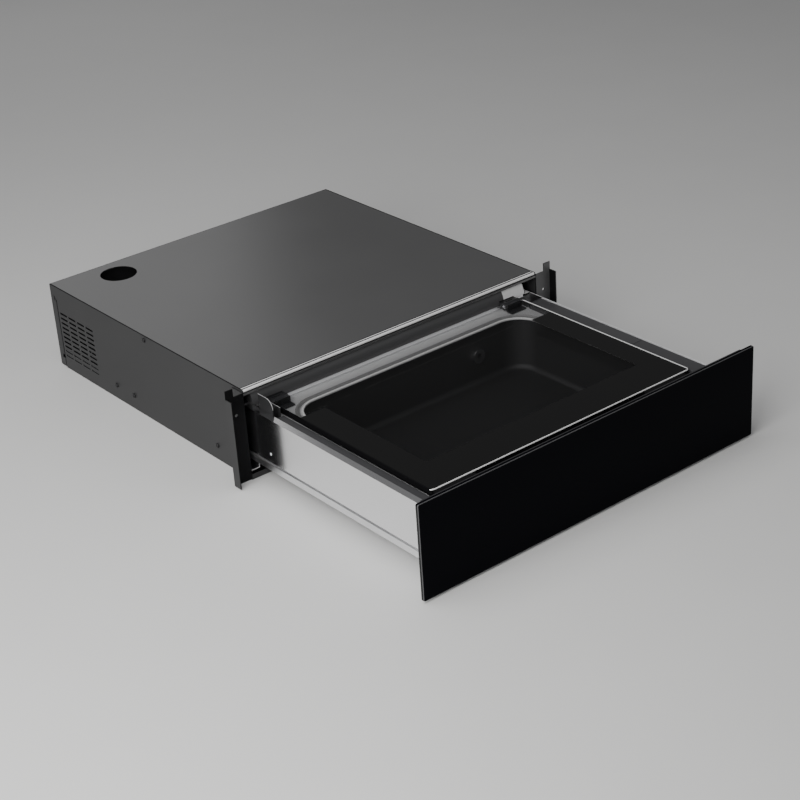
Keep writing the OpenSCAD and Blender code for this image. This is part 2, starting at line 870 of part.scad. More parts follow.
// The fixed leaf has two outer knuckles and a plate on the bulkhead's shelf
module hinge_leaf() {
    x0 = hinge_x - hinge_w / 2;
    x1 = hinge_x + hinge_w / 2;
    difference() {
        union() {
            for (x = [x0, x1 - knuckle_l]) along_x(x, x + knuckle_l) translate([hinge_y, hinge_z]) {
                circle(knuckle_r);
                square([leaf_rear - hinge_y, leaf_top - hinge_z]);
            }
            block([x0, leaf_front, shelf_z], [x1, leaf_rear, leaf_top]);
        }
        along_x(x0 - cut, x1 + cut) translate([hinge_y, hinge_z]) circle(d = pin_d);
    }
}

module hinge_leaves() {
    color("black") both_sides() hinge_leaf();
}

module hinge_pins() {
    color("silver") both_sides() along_x(hinge_x - hinge_w / 2, hinge_x + hinge_w / 2)
        translate([hinge_y, hinge_z]) circle(d = pin_d);
}

// Bracket at the left rear corner, with a tall rounded cheek and a low one
cheek_rise = 1;
cheek_top = hood_top + cheek_rise;
cheek_r = 14;
bracket_w = 13;
bracket_x = -half_drawer + flange_w + drawer_t;

module cheek() {
    translate([bracket_front, deck_top]) square([bracket_l, cheek_top - cheek_r - deck_top]);
    translate([bracket_front + cheek_r, deck_top]) square([bracket_l - cheek_r, cheek_top - deck_top]);
    translate([bracket_front + cheek_r, cheek_top - cheek_r]) circle(cheek_r);
}

module sensor_bracket() {
    t = drawer_t;
    color("dimgray") {
        along_x(bracket_x, bracket_x + t) cheek();
        block([bracket_x + bracket_w - t, bracket_front, deck_top],
              [bracket_x + bracket_w, bracket_rear, cheek_top - cheek_r]);
        block([bracket_x, bracket_front, deck_top], [bracket_x + bracket_w, bracket_rear, deck_top + t]);
    }
}

sensor_margin = 6;

module lid_sensor() {
    t = drawer_t;
    color("black") block([bracket_x + t, bracket_front + sensor_margin, deck_top + t],
                         [bracket_x + bracket_w - t, bracket_rear - sensor_margin, cheek_top - cheek_r]);
}

rivet_d = 6;
rivet_h = 1.2;
rivet_set = 40;
rivet_rise = 14;
hood_screw_inset = 16;

module drawer_screws() {
    color("silver") both_sides() {
        translate([half_drawer, mouth_y - rivet_set, wall_z + rivet_rise]) rotate([0, 90, 0])
            cylinder(d1 = rivet_d, d2 = rivet_d / 2, h = rivet_h);
        for (y = [hood_shoulder + hood_screw_inset, drawer_rear - hood_screw_inset])
            translate([(hood_half + inner_drawer - drawer_t) / 2, y, drawer_top + drawer_t])
                cylinder(d = rivet_d, h = rivet_h);
        translate([hinge_x, (leaf_front + leaf_rear) / 2, leaf_top]) cylinder(d = rivet_d, h = rivet_h);
    }
}

module channel(half, top, skirt, y0, l) {
    side = half - rail_t / 2;
    color("gainsboro") along_y(y0, y0 + l) folded([
        [runner_x + side, top - skirt], [runner_x + side, top - rail_t / 2],
        [runner_x - side, top - rail_t / 2], [runner_x - side, top - skirt]], rail_t);
}

module drawer_rail() {
    channel(drawer_rail_half, runner_top, drawer_rail_skirt, carrier_rear + runner_clear, drawer_rail_l);
}

// The front of the middle rail is cut back below
module middle_rail() {
    low = middle_rail_top - middle_rail_skirt - cut;
    y = middle_rail_front - cut;
    difference() {
        channel(middle_rail_half, middle_rail_top, middle_rail_skirt, middle_rail_front, middle_rail_l);
        along_x(runner_x - drawer_rail_half, runner_x + drawer_rail_half)
            polygon([[y, low], [y + middle_rail_skirt, low], [y, middle_rail_top - rail_t]]);
    }
}

module left_drawer_rail() mirror([1, 0, 0]) drawer_rail();
module right_drawer_rail() drawer_rail();
module left_middle_rail() mirror([1, 0, 0]) middle_rail();
module right_middle_rail() middle_rail();

// A cage is a thin channel with a row of bearing balls on each side
balls = 8;
ball_pitch = 15;
cage_t = 0.8;
cage_gap = 0.5;
ball_drop = 5;

module cage(inner, outer, rail_top, y0) {
    mid = (inner + outer) / 2;
    ball = outer - inner - 2 * clearance;
    top = rail_top - rail_t - cage_gap - cage_t / 2;
    ball_z = rail_top - rail_t - ball_drop;
    spots = [for (i = [0 : balls - 1], side = [-1, 1])
        [runner_x + side * mid, y0 + (i + 1 / 2) * ball_pitch, ball_z]];
    color("white") difference() {
        along_y(y0, y0 + balls * ball_pitch) folded([
            [runner_x + mid, ball_z - ball], [runner_x + mid, top],
            [runner_x - mid, top], [runner_x - mid, ball_z - ball]], cage_t);
        for (p = spots) translate(p) rotate([0, 90, 0])
            cylinder(r = ball / 2 + running_fit, h = 3 * cage_t, center = true, $fn = 24);
    }
    color("silver") for (p = spots) translate(p) sphere(d = ball, $fn = 24);
}

module drawer_cage() {
    cage(middle_rail_half, drawer_rail_half - rail_t, runner_top, middle_rail_front + ball_pitch);
}

module cabinet_cage() {
    cage(cabinet_post_half, middle_rail_half - rail_t, middle_rail_top, cabinet_rail_front + ball_pitch);
}

module left_drawer_cage() mirror([1, 0, 0]) drawer_cage();
module right_drawer_cage() drawer_cage();
module left_cabinet_cage() mirror([1, 0, 0]) cabinet_cage();
module right_cabinet_cage() cabinet_cage();

// Machines behind the chamber. The pump lies across the drawer on rubber mounts.
pump_set = 2;
pump_y = (bulkhead_y + drawer_rear) / 2 + pump_set;
motor_r = 40;
motor_l = 130;
motor_x0 = -106;
motor_x1 = motor_x0 + motor_l;
rib_rise = 4;
rib_w = 4;
rib_gap = 8;
ribs = 9;
mount_h = 10;
mount_r = 9;
pump_foot = 4;
rib_clear = 2;
pump_z = machine_z + mount_h + rib_rise + motor_r + rib_clear;
cowl_l = 26;
cowl_t = 2;
cowl_slots = 8;
cowl_slot_w = 6;
cowl_slot_h = 16;
boss_l = 8;
shaft_r = 6;
shaft_in = 10;

module x_cylinder(x0, x1, r) {
    translate([x0, pump_y, pump_z]) rotate([0, 90, 0]) cylinder(r = r, h = x1 - x0);
}

module pump_motor() {
    foot_z = machine_z + mount_h;
    color("slategray") {
        difference() {
            x_cylinder(motor_x0, motor_x1, motor_r);
            x_cylinder(motor_x0 - cut, motor_x0 + shaft_in + clearance, shaft_r + running_fit);
        }
        for (i = [0 : ribs - 1]) let (x = motor_x0 + (i + 1) * (rib_w + rib_gap))
            x_cylinder(x, x + rib_w, motor_r + rib_rise);
        x_cylinder(motor_x1, motor_x1 + boss_l, motor_r - boss_l);
        block([motor_x0 + boss_l, pump_y - motor_r, foot_z],
              [motor_x1 - boss_l, pump_y + motor_r, foot_z + pump_foot]);
        block([motor_x0 + 2 * boss_l, pump_y - motor_r / 3, foot_z],
              [motor_x1 - 2 * boss_l, pump_y + motor_r / 3, pump_z - motor_r / 2]);
        // Slotted cowl round the cooling fan
        difference() {
            x_cylinder(motor_x0 - cowl_l, motor_x0, motor_r);
            x_cylinder(motor_x0 - cowl_l + cowl_t, motor_x0 + cut, motor_r - cowl_t);
            for (i = [0 : cowl_slots - 1])
                translate([motor_x0 - cowl_l, pump_y, pump_z]) rotate([i * 360 / cowl_slots, 0, 0])
                    translate([0, 0, motor_r / 2])
                        cube([4 * cowl_t, cowl_slot_w, cowl_slot_h], center = true);
        }
    }
}

fan_hub_r = 9;
fan_hub_l = 16;
pump_blades = 6;
blade_t = 2;

module pump_fan() {
    x = motor_x0 - clearance - fan_hub_l;
    color("white") {
        x_cylinder(x, x + fan_hub_l, fan_hub_r);
        x_cylinder(x, motor_x0 + shaft_in, shaft_r);
        for (i = [0 : pump_blades - 1]) translate([x, pump_y, pump_z]) rotate([i * 360 / pump_blades, 0, 0])
            block([blade_t, -blade_t / 2, fan_hub_r - blade_t],
                  [fan_hub_l - blade_t, blade_t / 2, motor_r - 3 * cowl_t]);
    }
}

head_l = 58;
head_half_w = 34;
head_rib_w = 3;
head_rib_gap = 6;
head_ribs = 6;
head_cap_l = 6;
head_x0 = motor_x1 + boss_l;
head_x1 = head_x0 + head_l;

module pump_head() {
    color("silver") {
        block([head_x0, pump_y - head_half_w, pump_z - head_half_w],
              [head_x1, pump_y + head_half_w, pump_z + head_half_w - rib_rise]);
        for (i = [0 : head_ribs - 1]) let (x = head_x0 + rib_w + i * (head_rib_w + head_rib_gap))
            block([x, pump_y - head_half_w - rib_rise, pump_z - head_half_w + rib_rise],
                  [x + head_rib_w, pump_y + head_half_w + rib_rise, pump_z + head_half_w]);
        x_cylinder(head_x1, head_x1 + head_cap_l, head_half_w - 2 * rib_rise);
    }
}

module pump_mounts() {
    color("black") for (x = [motor_x0 + 2 * mount_r, motor_x1 - 2 * mount_r], i = [-1, 1])
        translate([x, pump_y + i * (motor_r - mount_r), machine_z]) rotate_extrude()
            polygon([[0, 0], [mount_r, 0], [mount_r * 2 / 3, mount_h / 2],
                     [mount_r, mount_h], [0, mount_h]]);
}

filter_d = 46;
filter_h = 78;
filter_lip = 3;
filter_cap_h = 8;
filter_x = 185;

module exhaust_filter() {
    color("gray") translate([filter_x, pump_y, machine_z]) {
        cylinder(d = filter_d, h = filter_h);
        translate([0, 0, filter_h]) cylinder(d = filter_d - 2 * filter_lip, h = filter_cap_h);
        cylinder(d = filter_d + 2 * filter_lip, h = 2 * filter_lip);
    }
}

valve_w = 44;
valve_d = 30;
valve_h = 60;
valve_set = 23;
coil_d = 20;
coil_h = 28;
coil_nut_d = 8;
coil_nut_h = 6;

module valve_block() {
    front = pump_y - valve_set;
    color("gold") block([hose_x - valve_w / 2, front, machine_z],
                        [hose_x + valve_w / 2, front + valve_d, machine_z + valve_h]);
    color("dimgray") for (i = [-1, 1])
        translate([hose_x + i * valve_w / 4, front + valve_d / 2, machine_z + valve_h]) {
            cylinder(d = coil_d, h = coil_h);
            translate([0, 0, coil_h]) cylinder(d = coil_nut_d, h = coil_nut_h);
        }
}

module vacuum_hose() {
    front = chamber_rear + port_tail;
    l = pump_y - valve_set - front;
    color("darkslategray") translate([hose_x, front, hose_z]) rotate([-90, 0, 0]) difference() {
        cylinder(d = hose_d, h = l);
        translate([0, 0, -cut]) cylinder(d = hose_d - 2 * hose_wall, h = l + 2 * cut);
    }
}

transformer_x = -218;
core_w = 62;
core_d = 36;
core_h = 62;
winding_w = 46;
winding_d = 52;
winding_h = 44;
core_foot = 6;
core_foot_t = 2;

module transformer() {
    x = transformer_x + core_w / 2;
    coil_low = [x - winding_w / 2, pump_y - winding_d / 2, machine_z + (core_h - winding_h) / 2];
    coil_high = coil_low + [winding_w, winding_d, winding_h];
    color("saddlebrown") block(coil_low, coil_high);
    color("gray") {
        block([x - core_w / 2, pump_y - core_d / 2, machine_z],
              [x + core_w / 2, pump_y + core_d / 2, machine_z + core_h]);
        block([x - core_w / 2 - core_foot, pump_y - core_d / 2, machine_z],
              [x + core_w / 2 + core_foot, pump_y + core_d / 2, machine_z + core_foot_t]);
    }
}

board_rise = 74;
board_w = 88;
board_d = 82;
board_t = 1.6;
board_inset = 6;
post_d = 6;
board_chips = 3;
chip_w = 16;
chip_gap = 10;

module power_board() {
    x0 = transformer_x - core_foot;
    y0 = pump_y - board_d / 2;
    z0 = machine_z + board_rise;
    color("darkgreen") block([x0, y0, z0], [x0 + board_w, y0 + board_d, z0 + board_t]);
    color("black") for (i = [0 : board_chips - 1]) let (x = x0 + chip_gap + i * (chip_w + chip_gap))
        block([x, pump_y - chip_w, z0 + board_t],
              [x + chip_w, pump_y + chip_w, z0 + board_t + chip_w]);
    color("gray") for (x = [x0 + board_inset, x0 + board_w - board_inset], i = [-1, 1])
        translate([x, pump_y + i * (board_d / 2 - board_inset), machine_z])
            cylinder(d = post_d, h = board_rise);
}

fan_size = 60;
fan_t = 20;
fan_rim = 3;
fan_hub_d = 24;
fan_axle_d = 4;
fan_gap = 1;
fan_x = -inner_drawer + fan_gap;
fan_z = wall_z + fan_size / 2;

module fan_frame() {
    tunnel_d = fan_size - 2 * fan_rim;
    color("black") difference() {
        block([fan_x, pump_y - fan_size / 2, wall_z],
              [fan_x + fan_t, pump_y + fan_size / 2, wall_z + fan_size]);
        translate([fan_x, pump_y, fan_z]) rotate([0, 90, 0]) {
            translate([0, 0, -cut]) cylinder(d = tunnel_d, h = fan_t - fan_rim + cut);
            cylinder(r = fan_axle_d / 2 + running_fit, h = fan_t + cut);
            difference() {
                cylinder(d = tunnel_d, h = fan_t + cut);
                cylinder(d = fan_hub_d, h = fan_t + 2 * cut);
                for (a = [45, 135]) rotate(a) translate([0, 0, fan_t / 2])
                    cube([fan_size, fan_rim, fan_t + 4 * cut], center = true);
            }
        }
    }
}

fan_blades = 7;
blade_pitch = 35;
blade_share = 0.8;

module fan_rotor() {
    l = fan_t - fan_rim - 2 * clearance;
    blade_l = (fan_size - fan_hub_d) / 2 - 2 * fan_rim;
    color("dimgray") translate([fan_x + clearance, pump_y, fan_z]) rotate([0, 90, 0]) {
        cylinder(d = fan_hub_d, h = l);
        cylinder(d = fan_axle_d, h = fan_t - 2 * clearance);
        for (i = [0 : fan_blades - 1]) rotate(i * 360 / fan_blades)
            translate([fan_hub_d / 2 + blade_l / 2 - blade_t / 2, 0, l / 2]) rotate([blade_pitch, 0, 0])
                cube([blade_l + blade_t, blade_t, l * blade_share], center = true);
    }
}

// Lid

module lid_glass() {
    color("black") translate([0, lid_mid_y, lid_z]) bevelled_slab(lid_w, lid_d, lid_t, lid_r, bevel);
}

strap_foot_t = 2.2;
strap_foot_l = 10;

// The moving leaf: a plate behind the glass, a foot under it and the middle knuckle
module lid_strap() {
    x0 = hinge_x - hinge_w / 2;
    x1 = hinge_x + hinge_w / 2;
    plate_y = hinge_y - knuckle_r - clearance;
    low = lid_z - strap_foot_t;
    top = lid_z + lid_t - leaf_drop;
    color("black") difference() {
        union() {
            block([x0, lid_rear, low], [x1, plate_y, top]);
            block([x0, lid_rear - strap_foot_l, low], [x1, plate_y, lid_z]);
            along_x(x0 + knuckle_l + clearance, x1 - knuckle_l - clearance) {
                translate([hinge_y, hinge_z]) circle(knuckle_r);
                translate([lid_rear, hinge_z - knuckle_r])
                    square([hinge_offset, leaf_top - hinge_z + knuckle_r]);
            }
        }
        along_x(x0 - cut, x1 + cut) translate([hinge_y, hinge_z]) circle(d = pin_d + 2 * running_fit);
    }
}

module lid_straps() both_sides() lid_strap();

counter_gap = 0.6;
counter_margin = 1;

module counter_bar() {
    half_d = bar_w / 2 + counter_margin;
    color("black") block([-bar_l / 2, bar_y - half_d, deck_top + counter_gap],
                       [bar_l / 2, bar_y + half_d, lid_z]);
}

base_plate();
left_side_panel();
right_side_panel();
rear_panel();
top_cover();
mouth_rail();
left_front_bracket();
right_front_bracket();
housing_screws();
left_cabinet_rail();
right_cabinet_rail();
latch_body();
power_gland();
drawer_tray();
left_drawer_side();
right_drawer_side();
drawer_rear_wall();
bulkhead();
deck_plate();
deck_trims();
display_window();
control_panel();
vacuum_chamber();
chamber_gasket();
lift_cylinders();
suction_port();
front_carrier();
front_panel();
rear_hood();
hinge_leaves();
hinge_pins();
sensor_bracket();
lid_sensor();
drawer_screws();
left_drawer_rail();
right_drawer_rail();
pump_motor();
pump_head();
pump_mounts();
exhaust_filter();
valve_block();
vacuum_hose();
transformer();
power_board();
fan_frame();
lid_glass();
lid_straps();
counter_bar();
seal_bar();
lift_rods();
heating_band();
left_middle_rail();
right_middle_rail();
left_cabinet_cage();
right_cabinet_cage();
left_drawer_cage();
right_drawer_cage();
fan_rotor();
pump_fan();
latch_plunger();
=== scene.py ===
# %% [markdown]
# # A built-in vacuum sealing drawer
#
# The appliance sits in a kitchen niche. A steel housing stays in the cabinet, and a drawer
# slides out of it on ball runners. The drawer carries a deep-drawn steel chamber under a
# smoked glass lid, and the machines that empty the chamber stand behind it under a grey hood.
#
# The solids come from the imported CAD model. This script gives them their finishes, and
# models the visible pieces again where an edge, a curve or a small part shows more than a
# plain solid has. Lengths are written in millimetres and multiplied by MM.

# %% Load the frame
import json
import math

import bmesh
import bpy
from mathutils import Matrix, Vector


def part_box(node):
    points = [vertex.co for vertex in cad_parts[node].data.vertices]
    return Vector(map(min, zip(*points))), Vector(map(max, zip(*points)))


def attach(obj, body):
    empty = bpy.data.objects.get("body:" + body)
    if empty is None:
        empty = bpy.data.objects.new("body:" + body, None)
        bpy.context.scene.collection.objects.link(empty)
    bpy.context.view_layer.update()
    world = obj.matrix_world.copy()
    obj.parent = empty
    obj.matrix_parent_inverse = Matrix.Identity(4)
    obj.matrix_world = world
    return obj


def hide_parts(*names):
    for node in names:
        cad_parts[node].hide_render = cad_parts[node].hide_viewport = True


MM = 0.001
X, Y, Z = 0, 1, 2
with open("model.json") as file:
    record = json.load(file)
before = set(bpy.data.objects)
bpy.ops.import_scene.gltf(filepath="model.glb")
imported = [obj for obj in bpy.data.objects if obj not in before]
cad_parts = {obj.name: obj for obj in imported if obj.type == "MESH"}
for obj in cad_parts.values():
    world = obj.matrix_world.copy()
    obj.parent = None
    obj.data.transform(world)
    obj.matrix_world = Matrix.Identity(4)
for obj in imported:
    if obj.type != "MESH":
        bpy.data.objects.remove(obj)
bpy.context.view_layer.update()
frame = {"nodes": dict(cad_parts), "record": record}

# %% [markdown]
# ## The camera
#
# The photograph was taken from the front left, a little above the drawer, with a long lens.
# The angles and the distance were found by fitting the corners of the housing and of the
# front panel, so they are written here as plain numbers: the direction from the object to
# the camera, the point it looks at, and a small roll. The focal length and the sensor's
# width are in millimetres, and the farthest distance that the camera sees is in metres.

# %% Camera
VIEW_AZIMUTH = math.radians(-37.476)
VIEW_ELEVATION = math.radians(27.299)
VIEW_ROLL = math.radians(-4.001)
VIEW_DISTANCE = 2682.1 * MM
VIEW_POINT = Vector((-3.1, -260.0, 24.1)) * MM
FOCAL_LENGTH = 83.3
SENSOR_WIDTH = 36
FARTHEST_SEEN = 50

toward_camera = Vector((
    math.sin(VIEW_AZIMUTH) * math.cos(VIEW_ELEVATION),
    -math.cos(VIEW_AZIMUTH) * math.cos(VIEW_ELEVATION),
    math.sin(VIEW_ELEVATION),
))
level_right = Vector((0, 0, 1)).cross(toward_camera).normalized()
level_up = toward_camera.cross(level_right)
right = level_right * math.cos(VIEW_ROLL) + level_up * math.sin(VIEW_ROLL)
up = level_up * math.cos(VIEW_ROLL) - level_right * math.sin(VIEW_ROLL)

bpy.ops.object.camera_add()
camera = bpy.context.object
camera.name = "studio_camera"
camera.data.lens = FOCAL_LENGTH
camera.data.sensor_width = SENSOR_WIDTH
camera.data.clip_end = FARTHEST_SEEN
turn = Matrix((right, up, toward_camera)).transposed().to_4x4()
camera.matrix_world = Matrix.Translation(VIEW_POINT + toward_camera * VIEW_DISTANCE) @ turn
bpy.context.scene.camera = camera
print("camera at", [round(v, 3) for v in camera.matrix_world.translation])

# %% [markdown]
# ## Light
#
# Dark paint, steel and black glass show mostly what they reflect, so the studio has large
# soft lights: a strong one at the front left, which makes the drawer's side bright, one high
# on the left for the top cover, a very weak one far behind on the right for the hood, and a
# weak one at the front right. None of them stands where the lid would mirror it into the
# camera, because the glass has to stay dark. Places and sizes are in metres, and powers in
# watts. A little light from all around keeps the shadows open.

# %% Lights
AIR_COLOUR = (0.88, 0.88, 0.89, 1)
AIR_STRENGTH = 0.2


def soft_light(name, place, aim, size, power, tint=(1.0, 1.0, 1.0)):
    bpy.ops.object.light_add(type="AREA", location=place)
    light = bpy.context.object
    light.name = name
    light.data.size = size
    light.data.energy = power
    light.data.color = tint
    light.rotation_euler = (Vector(aim) - Vector(place)).to_track_quat("-Z", "Y").to_euler()


soft_light("left_softbox", (-1.6, -1.05, 1.0), (-0.2, -0.35, 0.1), 1.4, 36, (1.0, 0.995, 0.985))
soft_light("top_softbox", (-1.0, -0.2, 1.9), (-0.2, -0.1, 0.14), 1.6, 20)
soft_light("rear_softbox", (0.7, 2.4, 1.2), (-0.2, 0.1, 0.14), 1.4, 2.9)
soft_light("front_fill", (1.6, -2.8, 1.6), (0.0, -0.3, 0.1), 1.6, 6)

world = bpy.data.worlds.new("studio_air")
bpy.context.scene.world = world
world.use_nodes = True
air = world.node_tree.nodes["Background"]
air.inputs["Color"].default_value = AIR_COLOUR
air.inputs["Strength"].default_value = AIR_STRENGTH

# %% [markdown]
# ## Finishes as small groups of nodes
#
# Three effects are shared by many finishes, so each is built once as a node group and gets
# its values in each material. Three helpers come first: one makes an empty group with its
# sockets, one adds a node with its settings, and one lets a value swing round a centre as a
# noise goes up and down.

# %% Helpers for node trees
NOISE_MIDDLE = 0.5


def new_group(name, inputs, outputs):
    group = bpy.data.node_groups.new(name, "ShaderNodeTree")
    for label, kind, value in inputs:
        socket = group.interface.new_socket(name=label, in_out="INPUT", socket_type=kind)
        socket.default_value = value
    for label, kind in outputs:
        group.interface.new_socket(name=label, in_out="OUTPUT", socket_type=kind)
    return group, group.nodes.new("NodeGroupInput"), group.nodes.new("NodeGroupOutput")


def add_node(tree, kind, values=None, **settings):
    made = tree.nodes.new(kind)
    for setting, value in settings.items():
        setattr(made, setting, value)
    for label, value in (values or {}).items():
        made.inputs[label].default_value = value
    return made


def swing(tree, fac, amount, centre):
    """A value that swings round the centre by amount, as fac goes from 0 to 1."""
    offset = add_node(tree, "ShaderNodeMath", {1: NOISE_MIDDLE}, operation="SUBTRACT")
    scaled = add_node(tree, "ShaderNodeMath", operation="MULTIPLY")
    moved = add_node(tree, "ShaderNodeMath", operation="ADD")
    tree.links.new(fac, offset.inputs[0])
    tree.links.new(offset.outputs[0], scaled.inputs[0])
    tree.links.new(amount, scaled.inputs[1])
    tree.links.new(scaled.outputs[0], moved.inputs[0])
    if isinstance(centre, float):
        moved.inputs[1].default_value = centre
    else:
        tree.links.new(centre, moved.inputs[1])
    return moved.outputs[0]


# %% [markdown]
# Rolled and painted sheet has faint clouds and a very fine grain. A soft noise makes the
# clouds, which change the colour and the shine a little, and a fine noise makes the grain as
# a bump. With one even value the sheet would look like plastic.

# %% Rolled sheet
def build_rolled_sheet():
    group, given, result = new_group(
        "rolled_sheet",
        [("Colour", "NodeSocketColor", (0.5, 0.5, 0.5, 1)), ("Clouds", "NodeSocketFloat", 0.1),
         ("Roughness", "NodeSocketFloat", 0.4), ("Patches", "NodeSocketFloat", 0.08),
         ("Grain", "NodeSocketFloat", 900.0), ("Depth", "NodeSocketFloat", 0.05)],
        [("Colour", "NodeSocketColor"), ("Roughness", "NodeSocketFloat"),
         ("Normal", "NodeSocketVector")])
    place = add_node(group, "ShaderNodeTexCoord")
    cloud = add_node(group, "ShaderNodeTexNoise", {"Scale": 7.0, "Detail": 3.0})
    grain = add_node(group, "ShaderNodeTexNoise", {"Detail": 2.0})
    tone = add_node(group, "ShaderNodeHueSaturation")
    bump = add_node(group, "ShaderNodeBump", {"Distance": 0.0002})
    link = group.links.new
    link(place.outputs["Object"], cloud.inputs["Vector"])
    link(place.outputs["Object"], grain.inputs["Vector"])
    link(given.outputs["Grain"], grain.inputs["Scale"])
    link(swing(group, cloud.outputs["Fac"], given.outputs["Clouds"], 1.0), tone.inputs["Value"])
    link(given.outputs["Colour"], tone.inputs["Color"])
    link(tone.outputs["Color"], result.inputs["Colour"])
    link(swing(group, cloud.outputs["Fac"], given.outputs["Patches"], given.outputs["Roughness"]),
         result.inputs["Roughness"])
    link(given.outputs["Depth"], bump.inputs["Strength"])
    link(grain.outputs["Fac"], bump.inputs["Height"])
    link(bump.outputs["Normal"], result.inputs["Normal"])
    return group


ROLLED = build_rolled_sheet()
print("group:", ROLLED.name, "with", len(ROLLED.nodes), "nodes")

# %% [markdown]
# Brushed metal has long thin lines in one direction. They are a noise that is pulled out by
# a scale, which is small along the lines and very large across them. The same noise changes
# the tone, the shine and the surface, so that all three agree.

# %% Brushed lines
def build_brushed_lines():
    group, given, result = new_group(
        "brushed_lines",
        [("Colour", "NodeSocketColor", (0.6, 0.6, 0.6, 1)), ("Contrast", "NodeSocketFloat", 0.15),
         ("Roughness", "NodeSocketFloat", 0.3), ("Spread", "NodeSocketFloat", 0.15),
         ("Stretch", "NodeSocketVector", (4.0, 900.0, 900.0)), ("Depth", "NodeSocketFloat", 0.08)],
        [("Colour", "NodeSocketColor"), ("Roughness", "NodeSocketFloat"),
         ("Normal", "NodeSocketVector")])
    place = add_node(group, "ShaderNodeTexCoord")
    pull = add_node(group, "ShaderNodeMapping")
    lines = add_node(group, "ShaderNodeTexNoise", {"Scale": 1.0, "Detail": 4.0, "Roughness": 0.65})
    tone = add_node(group, "ShaderNodeHueSaturation")
    bump = add_node(group, "ShaderNodeBump", {"Distance": 0.0001})
    link = group.links.new
    link(place.outputs["Object"], pull.inputs["Vector"])
    link(given.outputs["Stretch"], pull.inputs["Scale"])
    link(pull.outputs["Vector"], lines.inputs["Vector"])
    link(swing(group, lines.outputs["Fac"], given.outputs["Contrast"], 1.0), tone.inputs["Value"])
    link(given.outputs["Colour"], tone.inputs["Color"])
    link(tone.outputs["Color"], result.inputs["Colour"])
    link(swing(group, lines.outputs["Fac"], given.outputs["Spread"], given.outputs["Roughness"]),
         result.inputs["Roughness"])
    link(given.outputs["Depth"], bump.inputs["Strength"])
    link(lines.outputs["Fac"], bump.inputs["Height"])
    link(bump.outputs["Normal"], result.inputs["Normal"])
    return group


BRUSHED = build_brushed_lines()
print("group:", BRUSHED.name, "with", len(BRUSHED.nodes), "nodes")

# %% [markdown]
# Handling marks are soft patches where a polished surface is a little less shiny. Only the
# upper part of a noise is kept, so most of the surface stays clean.

# %% Handling marks
def build_handling_marks():
    group, given, result = new_group(
        "handling_marks",
        [("Clean", "NodeSocketFloat", 0.04), ("Marks", "NodeSocketFloat", 0.12),
         ("Size", "NodeSocketFloat", 11.0)],
        [("Roughness", "NodeSocketFloat")])
    place = add_node(group, "ShaderNodeTexCoord")
    patch = add_node(group, "ShaderNodeTexNoise", {
        "Detail": 5.0, "Roughness": 0.7, "Distortion": 0.4})
    kept = add_node(group, "ShaderNodeMapRange", {"From Min": 0.52, "From Max": 0.78})
    scaled = add_node(group, "ShaderNodeMath", operation="MULTIPLY_ADD")
    link = group.links.new
    link(place.outputs["Object"], patch.inputs["Vector"])
    link(given.outputs["Size"], patch.inputs["Scale"])
    link(patch.outputs["Fac"], kept.inputs["Value"])
    link(kept.outputs["Result"], scaled.inputs[0])
    link(given.outputs["Marks"], scaled.inputs[1])
    link(given.outputs["Clean"], scaled.inputs[2])
    link(scaled.outputs[0], result.inputs["Roughness"])
    return group


HANDLED = build_handling_marks()
print("group:", HANDLED.name, "with", len(HANDLED.nodes), "nodes")

# %% [markdown]
# ## From a group to a finish
#
# Each finish is a Principled shader joined to one of the groups. A value that is the same
# all over a surface, such as metallic or alpha, is set on the shader's own socket, and the
# group brings only what changes over the surface. All finishes are kept by their names.

# %% A material with one group
finishes = {}


def new_material(name, **sockets):
    material = bpy.data.materials.new(name)
    material.use_nodes = True
    shader = material.node_tree.nodes["Principled BSDF"]
    for label, value in sockets.items():
        shader.inputs[label.replace("_", " ")].default_value = value
    finishes[name] = material
    return material, shader


def with_group(material, shader, group, values):
    """Places a finish group in the material and joins each of its outputs to the shader."""
    used = material.node_tree.nodes.new("ShaderNodeGroup")
    used.node_tree = group
    for label, value in values.items():
        used.inputs[label].default_value = value
    for output in used.outputs:
        socket = "Base Color" if output.name == "Colour" else output.name
        material.node_tree.links.new(output, shader.inputs[socket])


# %% [markdown]
# Three functions make the three kinds of finish. Each takes a colour and the few values that
# differ from one finish to the next, and hands the rest on to its group.

# %% Sheet, brushed metal and gloss
SHEET_PATCHES = 0.1
BRUSHED_SPREAD = 0.16


def sheet_finish(name, colour, roughness, metallic=0.0, clouds=0.1, grain=900.0, depth=0.05,
                 **more):
    material, shader = new_material(name, Metallic=metallic, **more)
    with_group(material, shader, ROLLED, {
        "Colour": (*colour, 1), "Clouds": clouds, "Roughness": roughness,
        "Patches": SHEET_PATCHES, "Grain": grain, "Depth": depth})
    return material


def brushed_finish(name, colour, roughness, stretch, contrast=0.16, depth=0.06):
    material, shader = new_material(name, Metallic=1.0)
    with_group(material, shader, BRUSHED, {
        "Colour": (*colour, 1), "Contrast": contrast, "Roughness": roughness,
        "Spread": BRUSHED_SPREAD, "Stretch": stretch, "Depth": depth})
    return material


def gloss_finish(name, colour, clean, marks, size=11.0, **more):
    material, shader = new_material(name, **more)
    shader.inputs["Base Color"].default_value = (*colour, 1)
    with_group(material, shader, HANDLED, {"Clean": clean, "Marks": marks, "Size": size})
    return material


# %% [markdown]
# ## The finishes of the slots
#
# Each of the record's material slots gets one finish of the same name. The housing is dark
# painted steel, its cover has more of the metal's shine, and the hood's paint lies between
# the two. The drawer's tray and the moving rails are zinc-plated, with a coarser grain. The
# hinges, the fixed rails and the carrier of the front are dark sheet.

